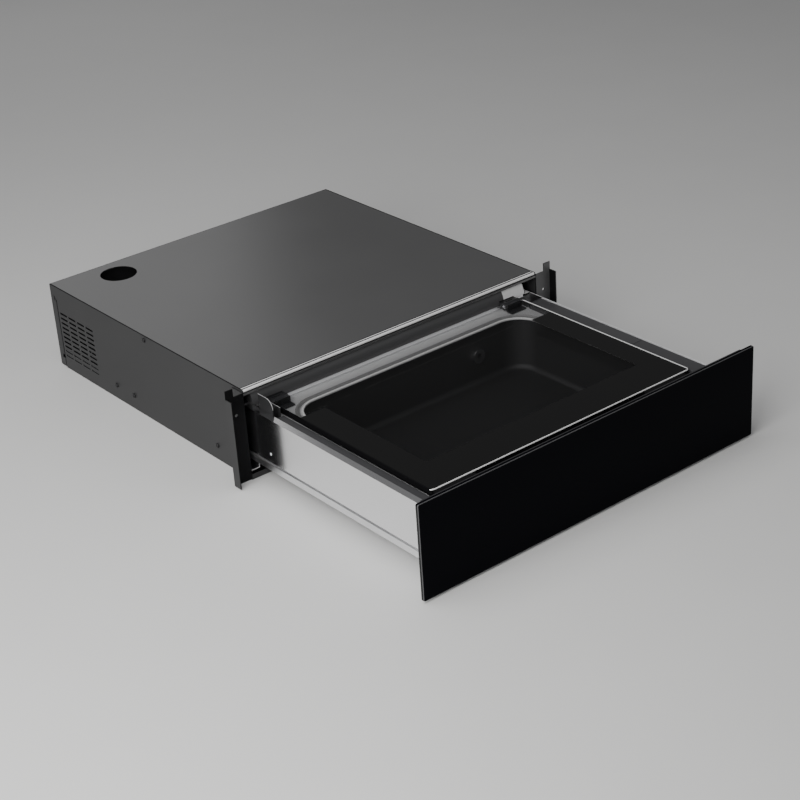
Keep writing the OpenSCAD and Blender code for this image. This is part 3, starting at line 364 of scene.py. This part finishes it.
# %% Steel sheet
sheet_finish("housing_steel", (0.022, 0.022, 0.023), 0.46, 0.1, clouds=0.12, grain=1200.0,
             depth=0.04)
sheet_finish("cover_steel", (0.186, 0.186, 0.187), 0.30, 0.75, grain=1200.0, depth=0.03)
sheet_finish("zinc_steel", (0.80, 0.80, 0.81), 0.30, 1.0, clouds=0.14, grain=700.0)
sheet_finish("hood_paint", (0.075, 0.075, 0.077), 0.34, 0.3, grain=1000.0, depth=0.03)
sheet_finish("dark_sheet", (0.022, 0.022, 0.024), 0.38, clouds=0.2, depth=0.06)
print("finishes:", list(finishes))

# %% [markdown]
# The drawer's sides are stainless steel, brushed along the drawer, with very faint lines.
# The chamber is drawn from the same steel, but under the dark glass it looks nearly black,
# so its finish is darkened: painted shade. The sealing bar and the valves are brushed too, and
# the pump's head is cast.

# %% Bright metal
ALONG_X = (5.0, 1100.0, 1100.0)
ALONG_Y = (1100.0, 5.0, 1100.0)

brushed_finish("stainless_sheet", (0.86, 0.86, 0.87), 0.17, ALONG_Y, contrast=0.04, depth=0.006)
# The chamber's dark colour is painted shade for the shade under the lid.
brushed_finish("polished_chamber", (0.068, 0.068, 0.070), 0.64, ALONG_X, contrast=0.08,
               depth=0.02)
brushed_finish("bar_aluminium", (0.74, 0.75, 0.76), 0.28, ALONG_X)
brushed_finish("brass_valves", (0.70, 0.52, 0.22), 0.3, ALONG_X)
sheet_finish("cast_aluminium", (0.58, 0.59, 0.60), 0.45, 1.0, clouds=0.12, grain=420.0,
             depth=0.3)
sheet_finish("bright_screws", (0.75, 0.75, 0.77), 0.2, 1.0, grain=2000.0)
sheet_finish("black_screws", (0.02, 0.02, 0.021), 0.35, 0.5, clouds=0.2, grain=2000.0, depth=0.1)
print("finishes so far:", len(finishes))

# %% [markdown]
# Moulded plastic and rubber are no metals and have a deeper grain, and rubber is the rougher
# of the two. White plastic holds the runners' balls. Among the machines are a painted motor,
# a transformer of stacked sheets and a green circuit board.

# %% Plastic, rubber and machines
sheet_finish("black_plastic", (0.016, 0.016, 0.017), 0.5, clouds=0.2, grain=1600.0, depth=0.2)
sheet_finish("white_plastic", (0.72, 0.72, 0.70), 0.45, clouds=0.05, grain=1600.0, depth=0.1)
sheet_finish("seal_rubber", (0.018, 0.018, 0.018), 0.6, clouds=0.2, grain=1500.0, depth=0.2)
sheet_finish("hose_rubber", (0.03, 0.03, 0.032), 0.55, clouds=0.2, grain=1500.0, depth=0.2)
sheet_finish("motor_paint", (0.06, 0.07, 0.085), 0.45, clouds=0.15, grain=500.0, depth=0.2)
sheet_finish("transformer_core", (0.10, 0.085, 0.075), 0.5, 0.3, clouds=0.25, grain=600.0,
             depth=0.3)
sheet_finish("circuit_board", (0.02, 0.13, 0.05), 0.35, clouds=0.15, grain=300.0, depth=0.1)
print("finishes so far:", len(finishes))

# %% [markdown]
# Black glass is nearly all reflection, with faint marks from wiping. The front panel mirrors
# very little of the studio, so its specular level is low. The lid is smoked, which a plain
# alpha shows well: the chamber is seen dimly through it.

# %% Glass
gloss_finish("window_plastic", (0.055, 0.055, 0.058), 0.12, 0.1)
gloss_finish("touch_glass", (0.006, 0.006, 0.007), 0.05, 0.1, Specular_IOR_Level=0.3)
gloss_finish("front_glass", (0.0012, 0.0013, 0.0024), 0.08, 0.1, size=6.0,
             Specular_IOR_Level=0.03)
gloss_finish("smoked_glass", (0.004, 0.004, 0.004), 0.03, 0.05, Alpha=0.20,
             Specular_IOR_Level=0.35)
print("finishes so far:", len(finishes))

# %% [markdown]
# The sealing bar is covered with a brown woven tape that keeps the film from sticking. A
# fine check of two browns in the tape's own plane gives the weave, and the same check lifts
# every second thread a little.

# %% Woven tape
def woven_tape(name):
    material, shader = new_material(name, Roughness=0.55)
    tree = material.node_tree
    place = add_node(tree, "ShaderNodeTexCoord")
    weave = add_node(tree, "ShaderNodeTexChecker", {
        "Scale": 900.0, "Color1": (0.16, 0.11, 0.06, 1), "Color2": (0.10, 0.07, 0.035, 1)})
    bump = add_node(tree, "ShaderNodeBump", {"Strength": 0.3, "Distance": 0.0002})
    tree.links.new(place.outputs["Object"], weave.inputs["Vector"])
    tree.links.new(weave.outputs["Color"], shader.inputs["Base Color"])
    tree.links.new(weave.outputs["Fac"], bump.inputs["Height"])
    tree.links.new(bump.outputs["Normal"], shader.inputs["Normal"])


woven_tape("heating_tape")
print("finishes of the slots:", len(finishes))

# %% [markdown]
# ## A finish for every solid
#
# The record names the material slot and the body of every CAD node. Each node gets the
# finish of its slot here, also those that a new piece will stand for, because the pieces
# inside the housing keep the CAD mesh.

# %% Give every CAD node its finish
slot_of = {part["node"]: part["material_slot"] for part in frame["record"]["subparts"]}
body_of = {node: body for body, nodes in frame["record"]["behaviour"]["bodies"].items()
           for node in nodes}
for node, solid in frame["nodes"].items():
    solid.data.materials.clear()
    solid.data.materials.append(finishes[slot_of[node]])
print("CAD nodes with a finish:", len(slot_of))

# %% [markdown]
# ## The studio floor
#
# The floor is one large pale sheet just under the housing. Its size is in metres.

# %% Floor
FLOOR_SIZE = 18
FLOOR_DROP = 0.4

bpy.ops.mesh.primitive_plane_add(size=FLOOR_SIZE, location=(0, 0, -FLOOR_DROP * MM))
floor = bpy.context.object
floor.name = "studio_floor"
bpy.ops.object.transform_apply(location=True, rotation=True, scale=True)
floor.data.materials.append(sheet_finish(
    "floor_paper", (0.70, 0.70, 0.695), 0.7, clouds=0.03, grain=60.0, depth=0.02))
print("floor", FLOOR_SIZE, "m wide")

# %% [markdown]
# ## Helpers for the pieces
#
# An operator works on whatever is selected, so each helper first deselects everything.
# Faces and edges are picked in edit mode, by a test on their place or direction.

# %% Selecting by place or direction
SAME_WAY = 0.99


def only(*objects):
    if bpy.context.mode != "OBJECT":
        bpy.ops.object.mode_set(mode="OBJECT")
    bpy.ops.object.select_all(action="DESELECT")
    for chosen in objects:
        chosen.select_set(True)
    bpy.context.view_layer.objects.active = objects[0]


def anything(part):
    return True


def pick(piece, kind, test=anything):
    """Goes into edit mode with only the edges or faces selected that pass the test."""
    only(piece)
    bpy.ops.object.mode_set(mode="EDIT")
    bpy.ops.mesh.select_mode(type=kind)
    bpy.ops.mesh.select_all(action="DESELECT")
    mesh = bmesh.from_edit_mesh(piece.data)
    parts = mesh.edges if kind == "EDGE" else mesh.faces
    for part in [p for p in parts if test(p)]:
        part.select_set(True)
    mesh.select_flush_mode()
    bmesh.update_edit_mesh(piece.data)


def leave_edit():
    bpy.ops.object.mode_set(mode="OBJECT")


# %% [markdown]
# There are two kinds of cut. Cutting across a piece leaves its shape as it is and only parts
# its faces, so that a strip of them can get a finish of its own. Cutting away takes the
# shape of another object out of the piece, as a milling cutter would.

# %% Cutting across and cutting away
def cut_across(piece, axis, place, test=anything):
    """Parts the faces that pass the test where a plane across the axis meets them."""
    way = Vector([float(axis == other) for other in (X, Y, Z)])
    pick(piece, "FACE", test)
    bpy.ops.mesh.bisect(plane_co=way * place, plane_no=way)
    leave_edit()


def cut_away(piece, cutter):
    """Takes the cutter's shape out of the piece, and removes the cutter."""
    only(piece)
    cut = piece.modifiers.new("cut", "BOOLEAN")
    cut.operation = "DIFFERENCE"
    cut.object = cutter
    bpy.ops.object.modifier_apply(modifier=cut.name)
    bpy.data.objects.remove(cutter)


# %% [markdown]
# A pane or a cutter starts as a box, and most other pieces as a copy of a CAD node's mesh.
# That mesh is loose triangles, so the copy's points are merged and its flat faces made
# whole. Only then does it have true edges, which a bevel needs.

# %% Boxes and merged copies
POINT_GAP = 0.004
FLAT_ANGLE = 0.3


def new_box(name, low, high):
    low, high = Vector(low), Vector(high)
    bpy.ops.object.select_all(action="DESELECT")
    bpy.ops.mesh.primitive_cube_add(size=1, location=(low + high) / 2)
    piece = bpy.context.object
    piece.name = name
    piece.scale = high - low
    bpy.ops.object.transform_apply(location=True, rotation=True, scale=True)
    return piece


def merged_copy(node):
    """A copy of a CAD node's mesh with its loose triangles joined into whole faces."""
    piece = bpy.data.objects.new(node + "_formed", frame["nodes"][node].data.copy())
    bpy.context.scene.collection.objects.link(piece)
    piece.data.materials.clear()
    only(piece)
    bpy.ops.object.mode_set(mode="EDIT")
    bpy.ops.mesh.select_all(action="SELECT")
    bpy.ops.mesh.remove_doubles(threshold=POINT_GAP * MM)
    bpy.ops.mesh.dissolve_limited(angle_limit=math.radians(FLAT_ANGLE))
    leave_edit()
    return piece


# %% [markdown]
# Rounded edges catch the light. Shading by angle makes curves smooth, and weighing the
# normals by the faces' areas keeps the flat faces flat beside the small bevels.

# %% Rounding and shading
CURVE_ANGLE = 32
EDGE_ANGLE = 40


def shade_curves(piece, angle=CURVE_ANGLE):
    only(piece)
    bpy.ops.object.shade_smooth_by_angle(angle=math.radians(angle))
    weighing = piece.modifiers.new("flat_faces", "WEIGHTED_NORMAL")
    weighing.keep_sharp = True
    bpy.ops.object.modifier_apply(modifier=weighing.name)


def soften(piece, width, segments=2):
    """Rounds the sharp edges a little and shades the curves smooth."""
    only(piece)
    rounding = piece.modifiers.new("soft_edges", "BEVEL")
    rounding.width = width * MM
    rounding.segments = segments
    rounding.limit_method = "ANGLE"
    rounding.angle_limit = math.radians(EDGE_ANGLE)
    bpy.ops.object.modifier_apply(modifier=rounding.name)
    shade_curves(piece)


# %% [markdown]
# A piece may have a second finish on some of its faces, which are found by their direction
# or place. At the end it takes the place of its CAD node, and moves with that node's body.

# %% Painting faces and standing for a node
MOSTLY = 0.5


def facing(face, axis, sign, least=MOSTLY):
    return face.normal[axis] * sign > least


def paint_faces(piece, material, test):
    """Gives the faces that pass the test a finish of their own."""
    piece.data.materials.append(material)
    last = len(piece.data.materials) - 1
    painted = [face for face in piece.data.polygons if test(face)]
    for face in painted:
        face.material_index = last
    print(piece.name, "faces with", material.name + ":", len(painted))


def settle(piece, node, material=None):
    """The piece stands for the CAD node, rides on its body and takes its finish."""
    if not piece.data.materials:
        piece.data.materials.append(material or finishes[slot_of[node]])
    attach(piece, body_of[node])
    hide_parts(node)
    return piece


# %% [markdown]
# ## The cover's rolled lip
#
# The cover's front edge is rolled into a lip, and a fine groove runs along it. The groove is
# cut with a long thin box while the edges are still sharp, so that it gets its own rounded
# edges with the rest. Two cuts across the cover then mark where the lip's painted highlight
# ends and how wide the painted shade of the seam behind it is.

# %% Groove in the lip
LIP_GROOVE = 2.4
GROOVE_WIDTH = 2.4
GROOVE_DEPTH = 0.5
LIP_DEPTH = 7.0
SEAM_WIDTH = 1.6
cover_low, cover_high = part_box("top_cover")


def score_lip(cover):
    start = cover_low.y + LIP_GROOVE * MM
    cut_away(cover, new_box(
        "groove_cutter",
        (cover_low.x - MM, start, cover_high.z - GROOVE_DEPTH * MM),
        (cover_high.x + MM, start + GROOVE_WIDTH * MM, cover_high.z + MM)))
    for depth in (LIP_DEPTH, LIP_DEPTH + SEAM_WIDTH):
        cut_across(cover, Y, cover_low.y + depth * MM)


print("cover", [round(v / MM, 2) for v in (*cover_low, *cover_high)])

# %% [markdown]
# ## Sheet metal with real edges
#
# Folded and punched sheet never has a knife edge: the press rounds it by a few tenths of a
# millimetre, and that thin bright line is what the eye reads as metal. Each visible sheet or
# casting is therefore a merged copy of its solid, with small bevels on its edges. The deck,
# its trims and the chamber's seal look different from the other pieces of their slots, so
# they get a finish of their own.

# %% Visible sheets and castings
SOFT_EDGES = {
    "top_cover": 0.25, "left_side_panel": 0.25, "right_side_panel": 0.25, "rear_panel": 0.25,
    "mouth_rail": 0.3, "left_front_bracket": 0.35, "right_front_bracket": 0.35,
    "left_drawer_side": 0.3, "right_drawer_side": 0.3, "deck_plate": 0.3, "deck_trims": 0.3,
    "display_window": 0.3, "front_carrier": 0.3, "hinge_leaves": 0.5, "lid_straps": 0.4,
    "sensor_bracket": 0.3, "left_drawer_rail": 0.3, "right_drawer_rail": 0.3,
    "left_middle_rail": 0.3, "right_middle_rail": 0.3, "seal_bar": 0.4, "counter_bar": 0.4,
    "latch_body": 0.6, "fan_frame": 0.6, "power_gland": 0.5, "suction_port": 0.3,
}
OTHER_FINISH = {
    "deck_plate": sheet_finish("deck_steel", (0.68, 0.68, 0.69), 0.42, 0.2, clouds=0.06,
                               depth=0.02),
    "deck_trims": sheet_finish("trim_sheet", (0.055, 0.055, 0.058), 0.36, 0.1, depth=0.03),
    "chamber_gasket": sheet_finish("pale_seal", (0.26, 0.26, 0.26), 0.5, clouds=0.05,
                                   grain=1500.0, depth=0.1),
}
formed = {}
for node, width in SOFT_EDGES.items():
    piece = merged_copy(node)
    if node == "top_cover":
        score_lip(piece)
    soften(piece, width)
    formed[node] = settle(piece, node, OTHER_FINISH.get(node))
print("softened pieces:", len(SOFT_EDGES))

# %% [markdown]
# The rolled lip gets a painted highlight, a nearly white finish. The groove in it, the seam
# behind it and the cover's cut ends are in shade, so they are painted nearly black.

# %% Painted highlight on the lip and painted shade in the seam
PAINT_DEPTH = 0.2
END_SLOPE = 0.3
# A nearly white finish for painted highlights: on the lip, the drawer's right edge, the hood's
# end.
painted_highlight = sheet_finish("painted_highlight", (0.90, 0.90, 0.90), 0.30, 0.25, clouds=0.05, depth=0.02)
shade_black = sheet_finish("shade_black", (0.004, 0.004, 0.0045), 0.7, clouds=0.2, depth=0.03,
                           Specular_IOR_Level=0.1)


def behind_mouth(face, start, width):
    """True for a face in the strip that starts so far behind the cover's front edge."""
    return cover_low.y + start * MM < face.center.y < cover_low.y + (start + width) * MM


paint_faces(formed["top_cover"], painted_highlight, lambda face: (
    face.center.y < cover_low.y + LIP_DEPTH * MM
    and face.center.z > cover_high.z - LIP_DEPTH / 2 * MM))
paint_faces(formed["top_cover"], shade_black, lambda face: (
    behind_mouth(face, LIP_GROOVE, GROOVE_WIDTH)
    and face.center.z < cover_high.z - PAINT_DEPTH * MM
    or behind_mouth(face, LIP_DEPTH, SEAM_WIDTH)
    or abs(face.normal.x) > END_SLOPE))

# %% [markdown]
# Where two sheets meet there is a gap, and it shows as a thin dark line. The edges that look
# into such a gap are painted black as painted shade: the front edges of the rear panel's
# flanges, and the upper and rear edges of the side panels. The front brackets get painted
# light and shade: the left one's front is painted shade, nearly black, and the right one's is
# a lit grey, with painted shade on its inner face.

# %% Painted shade in gaps, painted light and shade on the brackets
FLANGE_SHADE = 1.6
# A lit grey for the right bracket's front face: painted light.
bracket_painted_light = sheet_finish("bracket_painted_light", (0.12, 0.12, 0.122), 0.4, 0.3, depth=0.03)
flange_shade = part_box("rear_panel")[0].y + FLANGE_SHADE * MM

cut_across(formed["rear_panel"], Y, flange_shade)
paint_faces(formed["rear_panel"], shade_black, lambda face: face.center.y < flange_shade)
for node in ("left_side_panel", "right_side_panel"):
    paint_faces(formed[node], shade_black, lambda face: facing(face, Z, 1) or facing(face, Y, 1))
paint_faces(formed["left_front_bracket"], shade_black, lambda face: facing(face, Y, -1))
paint_faces(formed["right_front_bracket"], bracket_painted_light, lambda face: facing(face, Y, -1))
paint_faces(formed["right_front_bracket"], shade_black, lambda face: facing(face, X, -1))

# %% [markdown]
# Thin painted highlights stand for the light that edges catch: a line on the upper edge of
# the drawer's right side, the faces round the sensor's bracket above the lid, and strips along
# the outer edges of the trims.

# %% Painted highlights on edges
TRIM_LINE = 1.8
# A bright steel finish for painted highlights on edges.
edge_highlight_steel = sheet_finish("edge_highlight_steel", (0.80, 0.80, 0.81), 0.36, 0.7, clouds=0.08, depth=0.03)
lid_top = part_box("lid_glass")[1].z
line_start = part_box("deck_trims")[1].x - TRIM_LINE * MM

paint_faces(formed["right_drawer_side"], painted_highlight, lambda face: facing(face, Z, 1))
paint_faces(formed["sensor_bracket"], edge_highlight_steel, lambda face: (
    not facing(face, X, 1) and not facing(face, X, -1) and face.center.z > lid_top))
for side in (-1, 1):
    cut_across(formed["deck_trims"], X, side * line_start)
paint_faces(formed["deck_trims"], edge_highlight_steel, lambda face: abs(face.center.x) > line_start)

# %% [markdown]
# The fixed rails of the runners are dark, and their ends at the housing's mouth get a
# painted highlight, which shows beside the drawer.

# %% Cabinet rails
RAIL_EDGE = 0.3
for node in ("left_cabinet_rail", "right_cabinet_rail"):
    piece = merged_copy(node)
    soften(piece, RAIL_EDGE)
    formed[node] = settle(piece, node)
    paint_faces(formed[node], edge_highlight_steel, lambda face: facing(face, Y, -1))

# %% [markdown]
# ## Drawn and bent shapes
#
# Deep-drawn and bent shapes have no sharp edges to round. Their curves are only shaded
# smooth, and flat areas stay flat.

# %% Smooth curves
for node in ("vacuum_chamber", "rear_hood", "chamber_gasket", "lift_cylinders", "lift_rods",
             "vacuum_hose", "pump_mounts", "exhaust_filter", "latch_plunger", "hinge_pins"):
    piece = merged_copy(node)
    shade_curves(piece)
    formed[node] = settle(piece, node, OTHER_FINISH.get(node))
print("pieces made from solids:", len(formed))

# %% [markdown]
# To the right of the right hinge the end of the hood gets a painted highlight, a bright
# patch under the lip.

# %% Painted highlight at the end of the hood
HOOD_HIGHLIGHT = 20
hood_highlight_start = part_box("hinge_leaves")[1].x - HOOD_HIGHLIGHT * MM

cut_across(formed["rear_hood"], X, hood_highlight_start)
paint_faces(formed["rear_hood"], painted_highlight, lambda face: face.center.x > hood_highlight_start)

# %% [markdown]
# ## Glass
#
# The lid is a thick pane of smoked glass with rounded corners and a polished bevel. The
# front panel is thinner and black behind, and the touch strip is a narrow piece of the same
# glass. All three start as boxes. The corners are rounded first, and the rims of the two
# large faces are bevelled after them, so that the bevel runs round the corners in one line.

# %% Glass slab
CORNER_STEPS = 6
BEVEL_STEPS = 2
BEVEL_SLOPE = 0.2
SIDE_SLOPE = 0.3
GLASS_ANGLE = 20
glass_side = gloss_finish("glass_side", (0.004, 0.004, 0.0045), 0.1, 0.1, size=30.0,
                          Specular_IOR_Level=0.15)
# A nearly white finish for painted highlights on the lid's bevel and right edge.
glass_rim_highlight = gloss_finish("glass_rim_highlight", (0.90, 0.90, 0.90), 0.35, 0.1, size=30.0,
                             Metallic=0.2)
dull_edge = gloss_finish("dull_edge", (0.10, 0.10, 0.104), 0.3, 0.1, size=30.0, Metallic=0.3)


def along(edge, axis):
    way = edge.verts[1].co - edge.verts[0].co
    return abs(way[axis]) > SAME_WAY * way.length


def glass_slab(name, node, thin, corner, bevel, rim, lit):
    """A slab of glass, thin along one axis, whose bevel faces picked by lit get the rim finish."""
    piece = new_box(name, *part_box(node))
    pick(piece, "EDGE", lambda edge: along(edge, thin))
    bpy.ops.mesh.bevel(offset=corner * MM, segments=CORNER_STEPS, affect="EDGES")
    pick(piece, "FACE", lambda face: abs(face.normal[thin]) > SAME_WAY)
    bpy.ops.mesh.region_to_loop()
    bpy.ops.mesh.bevel(offset=bevel * MM, segments=BEVEL_STEPS, affect="EDGES")
    leave_edit()
    piece.data.materials.append(finishes[slot_of[node]])
    paint_faces(piece, glass_side, lambda face: abs(face.normal[thin]) < SAME_WAY and (
        facing(face, X, -1, SIDE_SLOPE) or facing(face, Y, -1, SIDE_SLOPE)))
    paint_faces(piece, rim, lambda face: (
        BEVEL_SLOPE < abs(face.normal[thin]) < SAME_WAY and lit(face)))
    shade_curves(piece, GLASS_ANGLE)
    return settle(piece, node)


# %% [markdown]
# The bevel of the lid gets a painted highlight on its upper side, towards the right and the
# front. The bevels of the front panel and of the touch strip are a duller grey, all round
# their visible face.

# %% Lid, front panel and touch strip
lid = glass_slab(
    "smoked_lid", "lid_glass", thin=Z, corner=6.0, bevel=1.2, rim=glass_rim_highlight,
    lit=lambda face: face.normal.z > 0 and (
        facing(face, X, 1, SIDE_SLOPE) or facing(face, Y, -1, SIDE_SLOPE)))
glass_slab("black_front", "front_panel", thin=Y, corner=2.4, bevel=0.8, rim=dull_edge,
           lit=lambda face: face.normal.y < 0)
glass_slab("touch_strip", "control_panel", thin=Z, corner=1.8, bevel=0.6, rim=dull_edge,
           lit=lambda face: face.normal.z > 0)

# %% [markdown]
# The lid is printed black along its front and its sides, which hides the deck and the
# sealing bar. The side strips end in front of the rear corners, so that the bead of the
# chamber's mouth shows there. Along the right edge a narrow strip gets a painted highlight,
# a bright line. The top face is cut along these borders, and the strips get their finishes.

# %% Printed border
SIDE_PRINT = 42
SIDE_START = 64
FRONT_PRINT = 60
LID_HIGHLIGHT_STRIP = 3.4
glass_border = gloss_finish("glass_border", (0.007, 0.007, 0.007), 0.05, 0.06,
                            Specular_IOR_Level=0.16)
lid_low, lid_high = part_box("lid_glass")
print_left = lid_low.x + SIDE_PRINT * MM
print_right = lid_high.x - SIDE_PRINT * MM
lid_highlight_start = lid_high.x - LID_HIGHLIGHT_STRIP * MM
print_front = lid_low.y + FRONT_PRINT * MM
side_start = lid_high.y - SIDE_START * MM


def on_top(face):
    return face.normal.z > SAME_WAY


def printed(face):
    return on_top(face) and face.center.y < side_start and (
        face.center.x < print_left or face.center.x > print_right
        or face.center.y < print_front)


for axis, place in ((X, print_left), (X, print_right), (X, lid_highlight_start), (Y, print_front),
                    (Y, side_start)):
    cut_across(lid, axis, place, on_top)
paint_faces(lid, glass_border, printed)
paint_faces(lid, glass_rim_highlight, lambda face: on_top(face) and face.center.x > lid_highlight_start)

# %% [markdown]
# ## The chamber's rim
#
# The deck is pressed into a small bead round the chamber's mouth. Under the dark glass it is
# the brightest line of the drawer, so its nearly white finish is a painted highlight. It starts
# as a flat rectangle whose corners are rounded and whose inside is inset and taken away. The
# ring that is left is extruded upwards, and its edges are rounded.

# %% Bead with a painted highlight
CHAMBER_FLANGE = 14
BEAD_WIDTH = 3.2
BEAD_HEIGHT = 1.5
BEAD_ROUNDING = 0.6
MOUTH_RADIUS = 38
MOUTH_STEPS = 16
bead_highlight = sheet_finish("bead_highlight", (0.98, 0.98, 0.98), 0.25, clouds=0.02, depth=0.02)
mouth_low, mouth_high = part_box("vacuum_chamber")
mouth_size = mouth_high - mouth_low
flange_cut = 2 * (CHAMBER_FLANGE - BEAD_WIDTH) * MM
deck_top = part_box("deck_plate")[1].z

bpy.ops.object.select_all(action="DESELECT")
bpy.ops.mesh.primitive_plane_add(size=1, location=(
    0, (mouth_low.y + mouth_high.y) / 2, deck_top))
bead = bpy.context.object
bead.name = "chamber_bead"
bead.scale = (mouth_size.x - flange_cut, mouth_size.y - flange_cut, 1)
bpy.ops.object.transform_apply(location=True, rotation=True, scale=True)
pick(bead, "FACE")
bpy.ops.mesh.bevel(offset=(MOUTH_RADIUS + BEAD_WIDTH) * MM, segments=MOUTH_STEPS,
                   affect="VERTICES")
bpy.ops.mesh.inset(thickness=BEAD_WIDTH * MM)
bpy.ops.mesh.delete(type="FACE")
bpy.ops.mesh.select_all(action="SELECT")
bpy.ops.mesh.extrude_region_move(TRANSFORM_OT_translate={"value": (0, 0, BEAD_HEIGHT * MM)})
bpy.ops.mesh.select_all(action="SELECT")
bpy.ops.mesh.normals_make_consistent(inside=False)
leave_edit()
soften(bead, BEAD_ROUNDING, segments=3)
bead.data.materials.append(bead_highlight)
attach(bead, body_of["deck_plate"])
print("bead", [round(v / MM, 1) for v in bead.dimensions])

# %% [markdown]
# ## Screws
#
# The sheets are held by small pan-head screws with a cross recess. One head is modelled: a
# short cylinder whose rim is rounded, with two blades' shapes cut out of it. The sizes of the
# recess are shares of the head's own.

# %% One screw head
HEAD_SIDES = 24
RIM_SHARE = 0.55
RIM_STEPS = 4
BLADE_REACH = 1.1
BLADE_WIDTH = 0.22
BLADE_DEPTH = 0.9


def screw_head(name, radius, height):
    bpy.ops.object.select_all(action="DESELECT")
    bpy.ops.mesh.primitive_cylinder_add(vertices=HEAD_SIDES, radius=radius, depth=height,
                                        location=(0, 0, height / 2))
    head = bpy.context.object
    head.name = name
    bpy.ops.object.transform_apply(location=True, rotation=True, scale=True)
    pick(head, "FACE", on_top)
    bpy.ops.mesh.region_to_loop()
    bpy.ops.mesh.bevel(offset=height * RIM_SHARE, segments=RIM_STEPS, affect="EDGES")
    leave_edit()
    for quarter in (0, 1):
        bpy.ops.mesh.primitive_cube_add(size=1, location=(0, 0, height))
        blade = bpy.context.object
        blade.scale = (radius * BLADE_REACH, radius * BLADE_WIDTH, height * BLADE_DEPTH)
        blade.rotation_euler.z = quarter * math.pi / 2
        bpy.ops.object.transform_apply(location=True, rotation=True, scale=True)
        cut_away(head, blade)
    bpy.ops.object.shade_smooth_by_angle(angle=math.radians(CURVE_ANGLE))
    return head


# %% [markdown]
# The head is copied to every place, each copy with its own mesh. The copies are turned so
# that they stand on their sheet, and joined into one piece.

# %% Copies of a pattern
def spread_copies(pattern, name, places, node):
    """Copies the pattern to each place, turned so that its +Z points the way given."""
    copies = []
    for place, way in places:
        one = pattern.copy()
        one.data = pattern.data.copy()
        bpy.context.scene.collection.objects.link(one)
        one.matrix_world = Matrix.Translation(place) @ (
            Vector(way).to_track_quat("Z", "Y").to_matrix().to_4x4())
        copies.append(one)
    bpy.data.objects.remove(pattern)
    only(*copies)
    bpy.ops.object.join()
    bpy.ops.object.transform_apply(location=True, rotation=True, scale=True)
    piece = bpy.context.object
    piece.name = name
    print(name, "copies:", len(places))
    return settle(piece, node)


# %% [markdown]
# On each side of the housing, the fixed rail's three screws sit low, one screw near the top
# holds the cover, and two hold the front bracket. Distances along the side are measured from
# the housing's mouth.

# %% Housing screws
PAN_RADIUS = 3.5
PAN_HEIGHT = 2
RAIL_SCREWS = (80, 300, 349)
RAIL_SCREW_Z = 23
COVER_SCREW = 249
COVER_SCREW_DROP = 7
BRACKET_SCREW = 12
BRACKET_SCREWS_Z = (33.75, 101.25)
panel_low, panel_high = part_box("right_side_panel")
bracket_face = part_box("housing_screws")[1].x - PAN_HEIGHT * MM

seats = [(panel_high.x, y * MM, RAIL_SCREW_Z * MM) for y in RAIL_SCREWS]
seats.append((panel_high.x, COVER_SCREW * MM, panel_high.z - COVER_SCREW_DROP * MM))
seats += [(bracket_face, BRACKET_SCREW * MM, z * MM) for z in BRACKET_SCREWS_Z]
screw_places = [((side * x, panel_low.y + y, z), (side, 0, 0))
                for side in (-1, 1) for x, y, z in seats]
spread_copies(screw_head("pan_head", PAN_RADIUS * MM, PAN_HEIGHT * MM), "cross_screws",
              screw_places, "housing_screws")

# %% Update the scene
bpy.context.view_layer.update()
